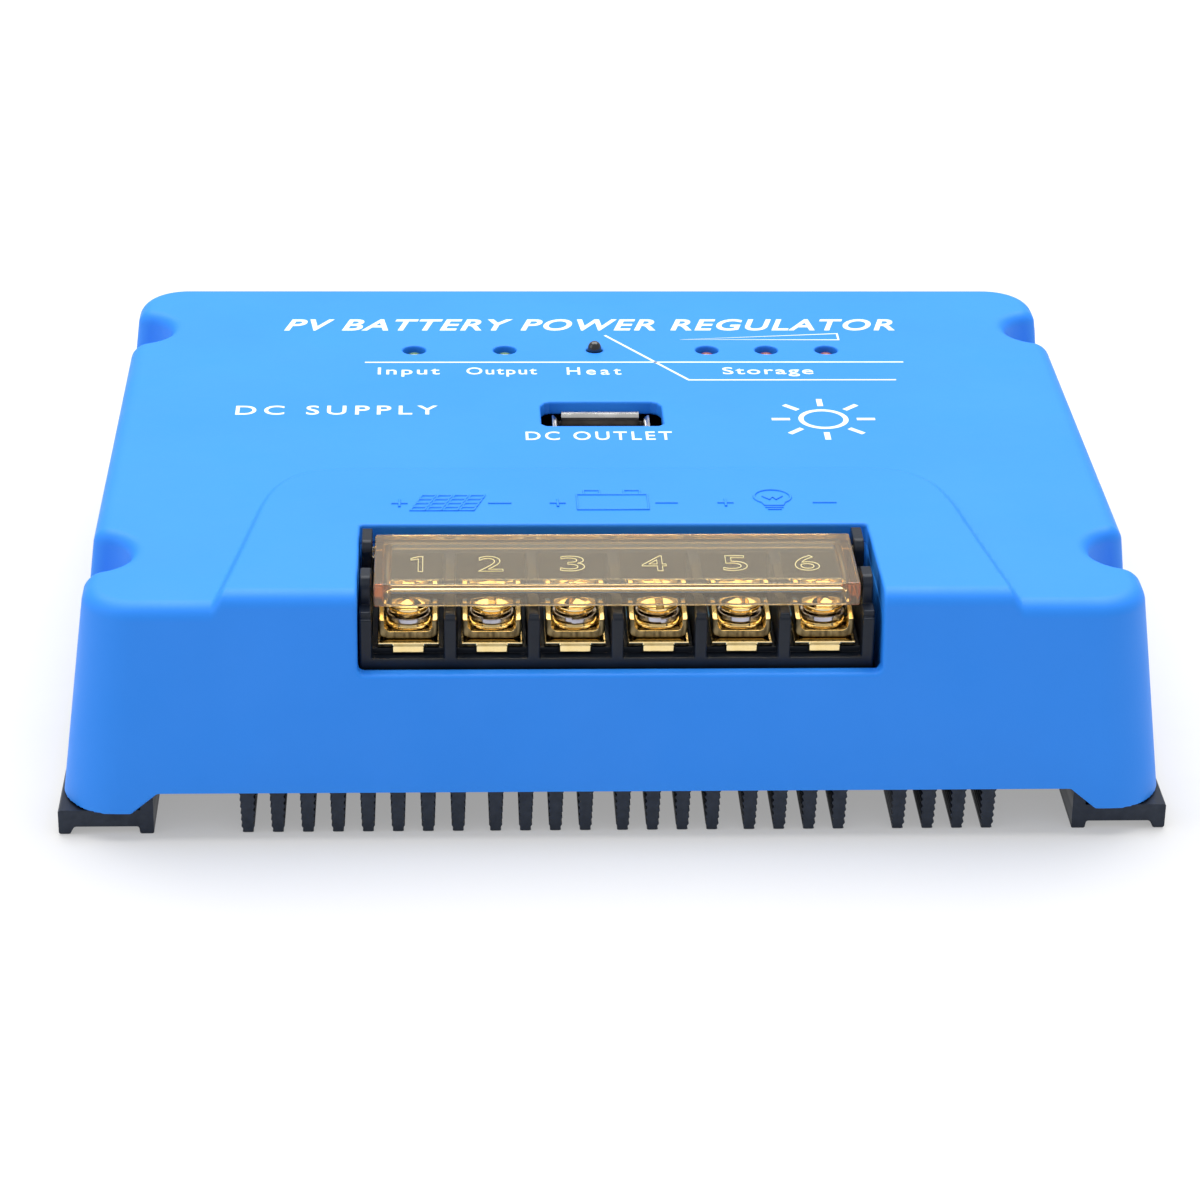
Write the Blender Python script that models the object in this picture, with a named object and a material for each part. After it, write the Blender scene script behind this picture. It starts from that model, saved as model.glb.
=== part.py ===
"""Solar charge controller: finned heat sink, moulded cover, six-way barrier terminal block with a hinged lid.

Frame: +Z up, +X to the right seen from the terminal side, terminals face -Y, origin on the surface it stands on,
under the middle of the box. All lengths below are millimetres and become metres in the meshes.
"""

import math

import bmesh
import bpy
from mathutils import Matrix, Vector

MM = 0.001

# Heat sink, an extrusion along Y
SINK_HALF_LENGTH = 59.6
FLANGE_OUT = 74.15
FLANGE_TOP = 3.6
WEB_BOTTOM = 1.15
WALL_IN = 61.5
WALL_OUT = 63.2
BASE_BOTTOM = 7.0
BASE_TOP = 10.0
FIN_X = (
    [-49.0 + 4.0 * i for i in range(8)]
    + [-16.0 + 4.0 * i for i in range(4)]
    + [1.0 + 4.0 * i for i in range(4)]
    + [18.0 + 4.0 * i for i in range(4)]
    + [38.0 + 4.0 * i for i in range(4)]
)
FIN_ROOT = 1.9
FIN_TIP = 1.4
HOLE_X = 69.4
HOLE_D = 4.6

# Cover
RIM = 3.85
NOTCH = 6.7
COVER_TOP = 32.9
COVER_HX = 73.8
COVER_HY = 61.4
DRAFT_X = 0.1229
DRAFT_Y = 0.115
CORNER_R = 8.0
TOP_FILLET = 2.2
WALL = 2.0
SCALLOP_X = 70.5
SCALLOP_R = 5.8
SCALLOP_Y = (-40.65, 40.85)
PAD_RISE = 1.65
PAD_BACK = -13.5
RECESS = (-34.15, 34.85, -34.6)
LIP = 23.25
USB_CUT = (-8.6, 9.2, 1.8, 10.8)
LAMP_Y = 31.3
LAMP_X = {
    "led_solar": -27.3,
    "led_load": -13.5,
    "led_battery_1": 17.4,
    "led_battery_2": 26.5,
    "led_battery_3": 35.7,
}
LAMP_HOLE = 3.5
TEMP_X = 0.2
TEMP_HOLE = 2.5
BOSS_XY = (54.5, 49.0)

# Board and what stands on it
PCB_BOTTOM = 15.6
PCB_TOP = 17.2
POST_XY = (54.5, 25.0)

# Terminal block, pitch and levels
PITCH = 11.0
BLOCK_HX = 33.9
BLOCK_Y = (-56.8, -35.0)
BLOCK_BOTTOM = 17.4
END_IN = 32.3
BARRIER_T = 1.6
BARRIER_TOP = 31.0
FLOOR = 24.5
PEDESTAL = 25.3
POST_TOP = 34.7
LEDGE = 30.2
AXIS_Y = -50.5
TERMINAL_X = [PITCH * (i - 2.5) for i in range(6)]

# Lid
LID_HX = 32.0
LID_Y = (-55.0, -39.2)
LID_Z = (31.2, 34.65)
HINGE_Y = -41.0
HINGE_Z = 32.7
PIN_R = 0.75

for old in list(bpy.data.objects):
    bpy.data.objects.remove(old, do_unlink=True)

SCENE = bpy.context.scene.collection


def material(name, colour, roughness, metallic=0.0, transmission=0.0):
    mat = bpy.data.materials.new(name)
    mat.use_nodes = True
    shader = mat.node_tree.nodes["Principled BSDF"]
    shader.inputs["Base Color"].default_value = (*colour, 1.0)
    shader.inputs["Roughness"].default_value = roughness
    shader.inputs["Metallic"].default_value = metallic
    shader.inputs["Transmission Weight"].default_value = transmission
    return mat


BLUE = ((0.10, 0.33, 0.85), 0.45)
BLACK_ANODISED = ((0.02, 0.025, 0.035), 0.5, 0.6)
BLACK_PLASTIC = ((0.012, 0.014, 0.02), 0.5)
AMBER = ((0.6, 0.25, 0.08), 0.08, 0.0, 0.8)
GOLD = ((0.8, 0.6, 0.25), 0.25, 1.0)
STEEL = ((0.6, 0.6, 0.6), 0.3, 1.0)
GREEN = ((0.02, 0.12, 0.05), 0.15)
RED = ((0.3, 0.02, 0.02), 0.15)
BOARD = ((0.02, 0.12, 0.05), 0.5)
WHITE = ((0.7, 0.7, 0.68), 0.5)
COPPER = ((0.6, 0.25, 0.1), 0.35, 1.0)
FERRITE = ((0.55, 0.5, 0.1), 0.6)
GREY = ((0.35, 0.35, 0.37), 0.7)


def add(name, bm, look=None, origin=(0, 0, 0)):
    """Puts a bmesh, whose points are millimetres, into the scene as an object with its origin at the given point."""
    bmesh.ops.remove_doubles(bm, verts=bm.verts, dist=1e-4)
    bmesh.ops.recalc_face_normals(bm, faces=bm.faces)
    bmesh.ops.translate(bm, verts=bm.verts, vec=[-c for c in origin])
    bmesh.ops.scale(bm, verts=bm.verts, vec=(MM, MM, MM))
    mesh = bpy.data.meshes.new(name)
    bm.to_mesh(mesh)
    bm.free()
    obj = bpy.data.objects.new(name, mesh)
    obj.location = [c * MM for c in origin]
    SCENE.objects.link(obj)
    if look:
        mesh.materials.append(material(name + "_look", *look))
    return obj


def loft(rings):
    """A closed bmesh through rings of equally many points, with a cap at each end."""
    bm = bmesh.new()
    made = [[bm.verts.new(p) for p in ring] for ring in rings]
    n = len(made[0])
    for a, b in zip(made, made[1:]):
        for i in range(n):
            j = (i + 1) % n
            bm.faces.new((a[i], a[j], b[j], b[i]))
    bm.faces.new(list(reversed(made[0])))
    bm.faces.new(made[-1])
    return bm


def prism(outline, axis, low, high):
    """An outline extruded along an axis: (x, y) along Z, (x, z) along Y, or (y, z) along X."""
    put = {
        "z": lambda p, h: (p[0], p[1], h),
        "y": lambda p, h: (p[0], h, p[1]),
        "x": lambda p, h: (h, p[0], p[1]),
    }[axis]
    return loft([[put(p, h) for p in outline] for h in (low, high)])


def box(x0, x1, y0, y1, z0, z1):
    return prism([(x0, y0), (x1, y0), (x1, y1), (x0, y1)], "z", z0, z1)


def circle(cx, cy, r, n=20, turn=0.0):
    return [
        (
            cx + r * math.cos(turn + 2 * math.pi * i / n),
            cy + r * math.sin(turn + 2 * math.pi * i / n),
        )
        for i in range(n)
    ]


def rod(cx, cy, r, z0, z1, n=20, turn=0.0):
    return prism(circle(cx, cy, r, n, turn), "z", z0, z1)


def turned(profile, n=24, cx=0.0, cy=0.0):
    """A solid of revolution about a vertical axis. The profile is (radius, z) from bottom to top."""
    return loft(
        [
            [
                (
                    cx + r * math.cos(2 * math.pi * i / n),
                    cy + r * math.sin(2 * math.pi * i / n),
                    z,
                )
                for i in range(n)
            ]
            for r, z in profile
        ]
    )


def combine(obj, bm, operation):
    """Applies one exact Boolean with a helper solid, then removes the helper."""
    helper = add("helper", bm)
    modifier = obj.modifiers.new("cut", "BOOLEAN")
    modifier.operation = operation
    modifier.solver = "EXACT"
    modifier.object = helper
    helper.location = Vector(helper.location)
    bpy.context.view_layer.update()
    graph = bpy.context.evaluated_depsgraph_get()
    result = bpy.data.meshes.new_from_object(obj.evaluated_get(graph))
    obj.modifiers.clear()
    old = obj.data
    obj.data = result
    result.name = obj.name
    bpy.data.meshes.remove(old)
    bpy.data.objects.remove(helper, do_unlink=True)
    tidy = bmesh.new()
    tidy.from_mesh(obj.data)
    bmesh.ops.remove_doubles(tidy, verts=tidy.verts, dist=2e-6)
    bmesh.ops.dissolve_degenerate(tidy, edges=tidy.edges, dist=1e-6)
    bmesh.ops.dissolve_limit(
        tidy,
        angle_limit=math.radians(0.05),
        verts=tidy.verts,
        edges=tidy.edges,
        use_dissolve_boundaries=False,
    )
    tidy.to_mesh(obj.data)
    tidy.free()


def cut(obj, bm):
    combine(obj, bm, "DIFFERENCE")


def join(obj, bm):
    combine(obj, bm, "UNION")


def smooth(obj, degrees=35):
    obj.data.shade_smooth()
    obj.data.set_sharp_from_angle(angle=math.radians(degrees))


def copy(obj, name, location, turn=0.0):
    other = bpy.data.objects.new(name, obj.data)
    other.location = [c * MM for c in location]
    other.rotation_euler = (0, 0, turn)
    SCENE.objects.link(other)
    return other


# ---------------------------------------------------------------- heat sink
def fin(x):
    """The points of one fin from its left root to its right root, with ribbed sides."""
    levels = [6.1, 5.0, 3.9, 2.8, 1.7]
    left, right = [], []
    for i, z in enumerate(levels):
        half = (FIN_TIP + (FIN_ROOT - FIN_TIP) * z / BASE_BOTTOM) / 2
        half += 0.08 if i % 2 else -0.04
        left.append((x - half, z))
        right.append((x + half, z))
    half = FIN_TIP / 2
    return (
        [(x - FIN_ROOT / 2 - 0.1, BASE_BOTTOM)]
        + left
        + [(x - half, 0.5), (x - half + 0.25, 0.1), (x + half - 0.25, 0.1), (x + half, 0.5)]
        + right[::-1]
        + [(x + FIN_ROOT / 2 + 0.1, BASE_BOTTOM)]
    )


left_side = [
    (-WALL_OUT, BASE_TOP),
    (-WALL_OUT, FLANGE_TOP),
    (-FLANGE_OUT, FLANGE_TOP),
    (-FLANGE_OUT, 0.3),
    (-FLANGE_OUT + 0.3, 0.0),
    (-72.6, 0.0),
    (-72.0, WEB_BOTTOM),
    (-63.5, WEB_BOTTOM),
    (-63.3, 0.0),
    (-WALL_IN - 0.25, 0.0),
    (-WALL_IN, 0.25),
    (-WALL_IN, BASE_BOTTOM),
]
outline = list(left_side)
for x in FIN_X:
    outline += fin(x)
outline += [(-x, z) for x, z in reversed(left_side)]
heat_sink = add(
    "heat_sink",
    prism(outline, "y", -SINK_HALF_LENGTH, SINK_HALF_LENGTH),
    BLACK_ANODISED,
)
for sx in (-1, 1):
    for y in SCALLOP_Y:
        cut(heat_sink, rod(sx * HOLE_X, y, HOLE_D / 2, 0.5, 5.0, 16))
    for sy in (-1, 1):
        cut(heat_sink, rod(sx * BOSS_XY[0], sy * BOSS_XY[1], 1.7, 6.0, 11.0, 12))
        cut(heat_sink, rod(sx * POST_XY[0], sy * POST_XY[1], 1.6, 7.8, 11.0, 12))


# ---------------------------------------------------------------- cover
def outer_half(z):
    return COVER_HX - DRAFT_X * (z - 3.6), COVER_HY - DRAFT_Y * (z - 3.6)


def rounded(hx, hy, r, z, n=6):
    """A rounded rectangle at height z, anticlockwise from the +X side."""
    points = []
    for sx, sy, start in ((1, 1, 0), (-1, 1, 90), (-1, -1, 180), (1, -1, 270)):
        for k in range(n + 1):
            a = math.radians(start + 90.0 * k / n)
            points.append(
                (sx * (hx - r) + r * math.cos(a), sy * (hy - r) + r * math.sin(a), z)
            )
    return points


def cover_ring(z, inset=0.0, n=6):
    hx, hy = outer_half(min(z, COVER_TOP))
    r = max(CORNER_R - 0.03 * (z - 3.6) - inset, 1.0)
    return rounded(hx - inset, hy - inset, r, z, n)


rings = [cover_ring(RIM), cover_ring(COVER_TOP - TOP_FILLET)]
for step in (1, 2, 3):
    a = math.radians(30 * step)
    rings.append(
        cover_ring(
            COVER_TOP - TOP_FILLET + TOP_FILLET * math.sin(a),
            TOP_FILLET * (1 - math.cos(a)),
        )
    )
top_cover = add("top_cover", loft(rings), BLUE)

# Raised wedge pad round the terminals: flush at its back line, highest at the front
front_low = -(COVER_HY - DRAFT_Y * (COVER_TOP - 1.0 - 3.6)) + 0.03
front_high = -(COVER_HY - DRAFT_Y * (COVER_TOP + PAD_RISE - 3.6)) + 0.03
PAD_SIDE = [(53.4, front_low), (52.7, -54.5), (49.0, -31.0), (48.2, -25.5), (46.0, -18.8), (43.0, -15.4), (38.3, PAD_BACK)]


def pad_height(y):
    return COVER_TOP + PAD_RISE * max(0.0, (PAD_BACK - y) / (PAD_BACK - front_high))


plan = PAD_SIDE + [(-x, y) for x, y in reversed(PAD_SIDE)]
foot = [(x, y, COVER_TOP - 1.0) for x, y in plan]
crown = []
for x, y in plan:
    step_in = 1.1 if y < PAD_BACK else 0.0
    side = 1 if x > 0 else -1
    if y == front_low:
        crown.append((x - side * step_in, front_high, pad_height(front_high) ))
    else:
        crown.append((x - side * step_in * min(1.0, (PAD_BACK - y) / 12.0), y, pad_height(y) + (0.0 if y < PAD_BACK else 0.02)))
join(top_cover, loft([foot, crown]))

for sx in (-1, 1):
    for y in SCALLOP_Y:
        cut(top_cover, rod(sx * SCALLOP_X, y, SCALLOP_R, 0.0, 40.0, 24))

# Hollow inside: one cavity under the ledge that holds the base plate's edge, one above it
low = rounded(71.0, SINK_HALF_LENGTH + 0.25, 5.5, 0.0)
cavity = add("cavity", loft([low, [(x, y, BASE_TOP + 0.3) for x, y, _ in low]]))
for sx in (-1, 1):
    for y in SCALLOP_Y:
        cut(cavity, rod(sx * SCALLOP_X, y, SCALLOP_R + 1.2, -1.0, 40.0, 24))
upper = add(
    "upper", loft([cover_ring(BASE_TOP - 1.0, WALL + 1.0), cover_ring(COVER_TOP - WALL - 0.1, WALL)])
)
for sx in (-1, 1):
    for y in SCALLOP_Y:
        cut(upper, rod(sx * SCALLOP_X, y, SCALLOP_R + 1.8, -1.0, 40.0, 24))


def take(obj):
    """The mesh of a helper object as a bmesh in millimetres, after which the helper is gone."""
    bm = bmesh.new()
    bm.from_mesh(obj.data)
    bmesh.ops.scale(bm, verts=bm.verts, vec=(1 / MM, 1 / MM, 1 / MM))
    bpy.data.objects.remove(obj, do_unlink=True)
    return bm


cut(top_cover, take(cavity))
cut(top_cover, take(upper))

# Walls round the recess, then the recess itself, open at the top and at the front above its lip
for x0, x1 in ((RECESS[0] - 1.5, RECESS[0]), (RECESS[1], RECESS[1] + 1.5)):
    join(top_cover, box(x0, x1 , -58.0, RECESS[2] + 1.5, 20.0, 31.4))
join(top_cover, box(RECESS[0] - 1.5, RECESS[1] + 1.5, RECESS[2], RECESS[2] + 1.5, 20.0, 31.4))
cut(top_cover, box(RECESS[0], RECESS[1], -57.2, RECESS[2], 16.0, 40.0))
cut(top_cover, box(RECESS[0], RECESS[1], -66.0, -57.0, LIP, 40.0))

# Bosses for the four screws from below
for sx in (-1, 1):
    for sy in (-1, 1):
        x, y = sx * BOSS_XY[0], sy * BOSS_XY[1]
        join(top_cover, rod(x, y, 3.5, BASE_TOP + 0.3, 31.3, 16))
        cut(top_cover, rod(x, y, 1.6, BASE_TOP - 1.0, 22.0, 12))

# Lamp, sensor and USB openings
for x in LAMP_X.values():
    cut(top_cover, rod(x, LAMP_Y, LAMP_HOLE / 2, 29.0, 40.0, 16))
cut(top_cover, rod(TEMP_X, LAMP_Y, TEMP_HOLE / 2, 29.0, 40.0, 16))
x0, x1, y0, y1 = USB_CUT
usb_hole = [
    (x0, y0 + 0.6), (x0 + 0.6, y0), (x1 - 0.6, y0), (x1, y0 + 0.6),
    (x1, y1 - 1.6), (x1 - 1.2, y1), (x0 + 1.2, y1), (x0, y1 - 1.6),
]
cut(top_cover, prism(usb_hole, "z", 29.0, 40.0))

# Front and back walls stop higher between the corner tabs
notch = [(-64.3, RIM - 1.0), (64.3, RIM - 1.0), (64.3, RIM), (60.9, NOTCH), (-60.9, NOTCH), (-64.3, RIM)]
cut(top_cover, prism(notch, "y", -66.0, -57.5))
cut(top_cover, prism(notch, "y", 57.5, 66.0))
smooth(top_cover, 30)


# ---------------------------------------------------------------- board
main_pcb = add("main_pcb", box(-59.0, 59.0, -56.4, 56.0, PCB_BOTTOM, PCB_TOP), BOARD)
for sx in (-1, 1):
    for sy in (-1, 1):
        cut(main_pcb, rod(sx * BOSS_XY[0], sy * BOSS_XY[1], 3.9, 15.0, 18.0, 16))
        cut(main_pcb, rod(sx * POST_XY[0], sy * POST_XY[1], 1.6, 15.0, 18.0, 12))
for x in TERMINAL_X:
    cut(main_pcb, box(x - 1.3, x + 1.3, -44.0, -42.6, 15.0, 18.0))

standoff = add(
    "pcb_standoff_1",
    rod(0, 0, 3.1, 0, PCB_BOTTOM - BASE_TOP - 0.4, 6, math.radians(30)),
    STEEL,
)
cut(standoff, rod(0, 0, 1.6, -1.0, 8.0, 12))
standoff.location = (-POST_XY[0] * MM, -POST_XY[1] * MM, (BASE_TOP + 0.2) * MM)
pcb_screw = add(
    "pcb_screw_1",
    turned([(1.3, -9.2), (1.35, -8.8), (1.35, 0.0), (2.6, 0.0), (2.75, 0.6), (2.5, 1.4), (1.6, 1.9)], 14),
    STEEL,
)
cut(pcb_screw, box(-3.0, 3.0, -0.35, 0.35, 1.1, 3.0))
pcb_screw.location = (-POST_XY[0] * MM, -POST_XY[1] * MM, (PCB_TOP + 0.2) * MM)
cover_screw = add(
    "cover_screw_1",
    turned([(1.6, -2.0), (2.5, -1.5), (2.8, -0.7), (2.8, 0.0), (1.35, 0.0), (1.35, 12.5), (0.7, 13.4)], 14),
    STEEL,
)
cut(cover_screw, box(-1.6, 1.6, -0.35, 0.35, -3.0, -1.1))
cover_screw.location = (-BOSS_XY[0] * MM, -BOSS_XY[1] * MM, (BASE_BOTTOM - 0.2) * MM)
for i, (sx, sy) in enumerate(((1, -1), (-1, 1), (1, 1))):
    n = i + 2
    copy(standoff, f"pcb_standoff_{n}", (sx * POST_XY[0], sy * POST_XY[1], BASE_TOP + 0.2))
    copy(pcb_screw, f"pcb_screw_{n}", (sx * POST_XY[0], sy * POST_XY[1], PCB_TOP + 0.2), 0.5 * n)
    copy(cover_screw, f"cover_screw_{n}", (sx * BOSS_XY[0], sy * BOSS_XY[1], BASE_BOTTOM - 0.2), 0.7 * n)


# ---------------------------------------------------------------- terminal block
y0, y1 = BLOCK_Y
side = [
    (y0, BLOCK_BOTTOM), (y1, BLOCK_BOTTOM), (y1, LEDGE),
    (-37.4, LEDGE), (-37.4, POST_TOP - 0.5), (-37.9, POST_TOP), (-42.0, POST_TOP), (-42.5, POST_TOP - 0.5),
    (-42.5, BARRIER_TOP), (-49.0, BARRIER_TOP), (-49.0, POST_TOP - 0.5), (-49.5, POST_TOP),
    (-53.3, POST_TOP), (-53.8, POST_TOP - 0.5), (-53.8, LEDGE), (y0 + 0.5, LEDGE), (y0, LEDGE - 0.5),
]
terminal_block = add("terminal_block", prism(side, "x", -BLOCK_HX, BLOCK_HX), BLACK_PLASTIC)
over = [
    (y0 - 5, BARRIER_TOP - 0.6), (y0, BARRIER_TOP - 0.6), (y0 + 0.6, BARRIER_TOP), (-42.3, BARRIER_TOP),
    (-42.3, 29.6), (-37.4, 29.6), (-37.4, LEDGE), (y1 + 5, LEDGE), (y1 + 5, 40.0), (y0 - 5, 40.0),
]
cut(terminal_block, prism(over, "x", -END_IN, END_IN))
bay = [
    (y0 - 5, FLOOR), (-55.0, FLOOR), (-55.0, PEDESTAL), (-42.4, PEDESTAL), (-42.4, FLOOR),
    (-37.4, FLOOR), (-37.4, 40.0), (y0 - 5, 40.0),
]
half_bay = (PITCH - BARRIER_T) / 2
for i, x in enumerate(TERMINAL_X):
    lo = -END_IN if i == 0 else x - half_bay
    hi = END_IN if i == 5 else x + half_bay
    cut(terminal_block, prism(bay, "x", lo, hi))
    cut(terminal_block, rod(x, AXIS_Y, 2.6, 19.0, 27.0, 16))
    cut(terminal_block, box(x - 1.3, x + 1.3, -44.0, -42.6, 15.0, 27.0))
for sx in (-1, 1):
    hole = circle(HINGE_Y, HINGE_Z, 1.0, 12)
    ends = sorted((sx * (END_IN - 1.0), sx * (END_IN + 1.0)))
    cut(terminal_block, prism(hole, "x", *ends))

# Lid: a shallow tray over the terminals, hinged near its back edge on two pins
y0, y1 = LID_Y
lid_side = [
    (y0, LID_Z[0]), (y1, LID_Z[0]), (y1, LID_Z[1] - 0.4), (y1 - 0.4, LID_Z[1]),
    (y0 + 0.4, LID_Z[1]), (y0, LID_Z[1] - 0.4),
]
terminal_cover = add(
    "terminal_cover", prism(lid_side, "x", -LID_HX, LID_HX), AMBER, (0, HINGE_Y, HINGE_Z)
)
cut(terminal_cover, box(-LID_HX + 1.2, LID_HX - 1.2, y0 + 1.1, y1 - 1.1, 30.0, 33.45))
cut(terminal_cover, box(-LID_HX + 1.2, LID_HX - 1.2, y1 - 2.0, y1 + 1.0, 30.0, 32.0))
for sx in (-1, 1):
    ends = sorted((sx * (LID_HX - 0.6), sx * (END_IN + 0.75)))
    join(terminal_cover, prism(circle(HINGE_Y, HINGE_Z, PIN_R, 12), "x", *ends))

# Contact strip: plate with a tab folded down at the front and a leg down through the board at the back
contact = add("contact_plate_1", box(-4.05, 4.05, -55.6, -42.95, 25.5, 26.3), GOLD, (0, AXIS_Y, 25.5))
join(contact, box(-2.2, 2.2, -55.9, -55.2, 24.7, 26.3))
join(contact, box(-1.0, 1.0, -43.65, -42.95, 14.2, 26.0))
cut(contact, rod(0, AXIS_Y, 2.15, 25.0, 27.0, 16))

# Square clamp washer with both sides turned up and a raised ring in the middle
saddle = [
    (-3.95, 29.4), (-3.95, 27.3), (-3.7, 26.75), (-3.2, 26.5), (3.2, 26.5), (3.7, 26.75), (3.95, 27.3), (3.95, 29.4),
    (3.2, 29.4), (3.2, 28.0), (3.0, 27.6), (2.6, 27.4), (-2.6, 27.4), (-3.0, 27.6), (-3.2, 28.0), (-3.2, 29.4),
]
clamp = add(
    "clamp_washer_1", prism(saddle, "y", AXIS_Y - 3.95, AXIS_Y + 3.95), GOLD, (0, AXIS_Y, 26.5)
)
join(clamp, turned([(3.0, 27.2), (3.0, 27.5), (2.75, 28.05)], 16, 0, AXIS_Y))
cut(clamp, rod(0, AXIS_Y, 2.2, 26.0, 29.0, 16))

# Split spring washer
split = add("split_washer_1", rod(0, AXIS_Y, 2.95, 28.25, 29.1, 20), GOLD, (0, AXIS_Y, 28.25))
cut(split, rod(0, AXIS_Y, 2.15, 28.0, 30.0, 20))
cut(split, box(-0.25, 0.25, AXIS_Y - 4.0, AXIS_Y - 1.0, 28.0, 30.0))

# Pan-head screw with a slot
screw = add(
    "terminal_screw_1",
    turned(
        [
            (1.5, 20.0), (1.9, 20.4), (1.9, 29.3), (2.9, 29.3), (3.05, 29.6),
            (3.05, 30.3), (2.7, 30.95), (1.8, 31.3),
        ],
        20, 0, AXIS_Y,
    ),
    GOLD,
    (0, AXIS_Y, 29.3),
)
cut(screw, box(-4.0, 4.0, AXIS_Y - 0.5, AXIS_Y + 0.5, 30.2, 33.0))
TURN = (-50, 5, 60, 95, 20, 55)
for obj in (contact, clamp, split, screw):
    smooth(obj)
    obj.location.x = TERMINAL_X[0] * MM
screw.rotation_euler.z = math.radians(TURN[0])
for i in range(1, 6):
    x = TERMINAL_X[i]
    copy(contact, f"contact_plate_{i + 1}", (x, AXIS_Y, 25.5))
    copy(clamp, f"clamp_washer_{i + 1}", (x, AXIS_Y, 26.5))
    copy(split, f"split_washer_{i + 1}", (x, AXIS_Y, 28.25))
    copy(screw, f"terminal_screw_{i + 1}", (x, AXIS_Y, 29.3), math.radians(TURN[i]))


# ---------------------------------------------------------------- USB socket
UX, UY = 0.25, 7.15


def rect(hx, hy, z):
    return [(UX - hx, UY - hy, z), (UX + hx, UY - hy, z), (UX + hx, UY + hy, z), (UX - hx, UY + hy, z)]


usb_shell = add(
    "usb_shell",
    loft([rect(6.6, 2.9, 17.4), rect(6.6, 2.9, 30.6), rect(7.2, 3.3, 31.3), rect(6.95, 3.0, 31.4),
          rect(6.25, 2.56, 30.7), rect(6.25, 2.56, 17.4)]),
    STEEL,
)
bm = bmesh.new()
bm.from_mesh(usb_shell.data)
bm.faces.ensure_lookup_table()
caps = [f for f in bm.faces if abs(f.normal.z) > 0.9 and abs(f.calc_center_median().z - 17.4 * MM) < 1e-6]
bmesh.ops.delete(bm, geom=caps, context="FACES")
rim_edges = [e for e in bm.edges if e.is_boundary]
bmesh.ops.bridge_loops(bm, edges=rim_edges)
bmesh.ops.recalc_face_normals(bm, faces=bm.faces)
bm.to_mesh(usb_shell.data)
bm.free()
usb_tongue = add("usb_tongue", box(UX - 5.9, UX + 5.9, UY - 2.25, UY + 2.25, 17.4, 19.6), WHITE)
join(usb_tongue, box(UX - 5.55, UX + 5.55, UY + 0.1, UY + 1.95, 19.0, 29.4))


# ---------------------------------------------------------------- lamps and sensor
def lamp(name, look):
    body = turned(
        [(1.75, 25.4), (1.75, 26.3), (1.5, 26.3), (1.5, 30.9), (1.38, 31.6), (0.95, 32.15), (0.4, 32.4)], 14
    )
    obj = add(name, body, look, (0, 0, PCB_TOP))
    for x in (-0.9, 0.9):
        join(obj, box(x - 0.25, x + 0.25, -0.25, 0.25, PCB_TOP + 0.2, 25.8))
    smooth(obj)
    return obj


green = lamp("led_solar", GREEN)
green.location.x, green.location.y = LAMP_X["led_solar"] * MM, LAMP_Y * MM
red = lamp("led_battery_1", RED)
red.location.x, red.location.y = LAMP_X["led_battery_1"] * MM, LAMP_Y * MM
copy(green, "led_load", (LAMP_X["led_load"], LAMP_Y, PCB_TOP))
copy(red, "led_battery_2", (LAMP_X["led_battery_2"], LAMP_Y, PCB_TOP))
copy(red, "led_battery_3", (LAMP_X["led_battery_3"], LAMP_Y, PCB_TOP))
temp_sensor = add(
    "temp_sensor",
    turned([(0.5, 28.6), (0.9, 29.4), (1.0, 30.6), (1.02, 32.4), (0.9, 33.4), (0.6, 34.0), (0.25, 34.25)], 14,
           TEMP_X, LAMP_Y),
    BLACK_PLASTIC,
)
for x in (-0.3, 0.3):
    join(temp_sensor, box(TEMP_X + x - 0.18, TEMP_X + x + 0.18, LAMP_Y - 0.18, LAMP_Y + 0.18, PCB_TOP + 0.2, 29.2))
smooth(temp_sensor)


# ---------------------------------------------------------------- power parts inside
CX, CY = -32.0, 6.0


def ring_points(angle, section):
    c, s = math.cos(angle), math.sin(angle)
    return [(CX + r * c, CY + r * s, z) for r, z in section]


core_section = [(7.2, 19.4), (12.8, 19.4), (13.2, 19.9), (13.2, 27.9), (12.8, 28.4), (7.2, 28.4), (6.8, 27.9), (6.8, 19.9)]
bm = bmesh.new()
N = 24
made = [[bm.verts.new(p) for p in ring_points(2 * math.pi * i / N, core_section)] for i in range(N)]
for i in range(N):
    a, b = made[i], made[(i + 1) % N]
    for k in range(8):
        m = (k + 1) % 8
        bm.faces.new((a[k], a[m], b[m], b[k]))
inductor_core = add("inductor_core", bm, FERRITE)
smooth(inductor_core)

inner = [(6.9, 19.1), (13.1, 19.1), (13.5, 19.6), (13.5, 28.2), (13.1, 28.7), (6.9, 28.7), (6.5, 28.2), (6.5, 19.6)]
outer = [(6.2, 17.7), (13.8, 17.7), (14.8, 18.8), (14.8, 29.0), (13.8, 30.1), (6.2, 30.1), (5.2, 29.0), (5.2, 18.8)]
bm = bmesh.new()
STEPS = 22
angles = [math.radians(-150 + 300 * i / STEPS) for i in range(STEPS + 1)]
out = [[bm.verts.new(p) for p in ring_points(a, outer)] for a in angles]
inn = [[bm.verts.new(p) for p in ring_points(a, inner)] for a in angles]
for rings_ in (out, inn):
    for a, b in zip(rings_, rings_[1:]):
        for k in range(8):
            m = (k + 1) % 8
            bm.faces.new((a[k], a[m], b[m], b[k]))
for end in (0, -1):
    for k in range(8):
        m = (k + 1) % 8
        bm.faces.new((out[end][k], out[end][m], inn[end][m], inn[end][k]))
inductor_winding = add("inductor_winding", bm, COPPER)
smooth(inductor_winding)

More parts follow.
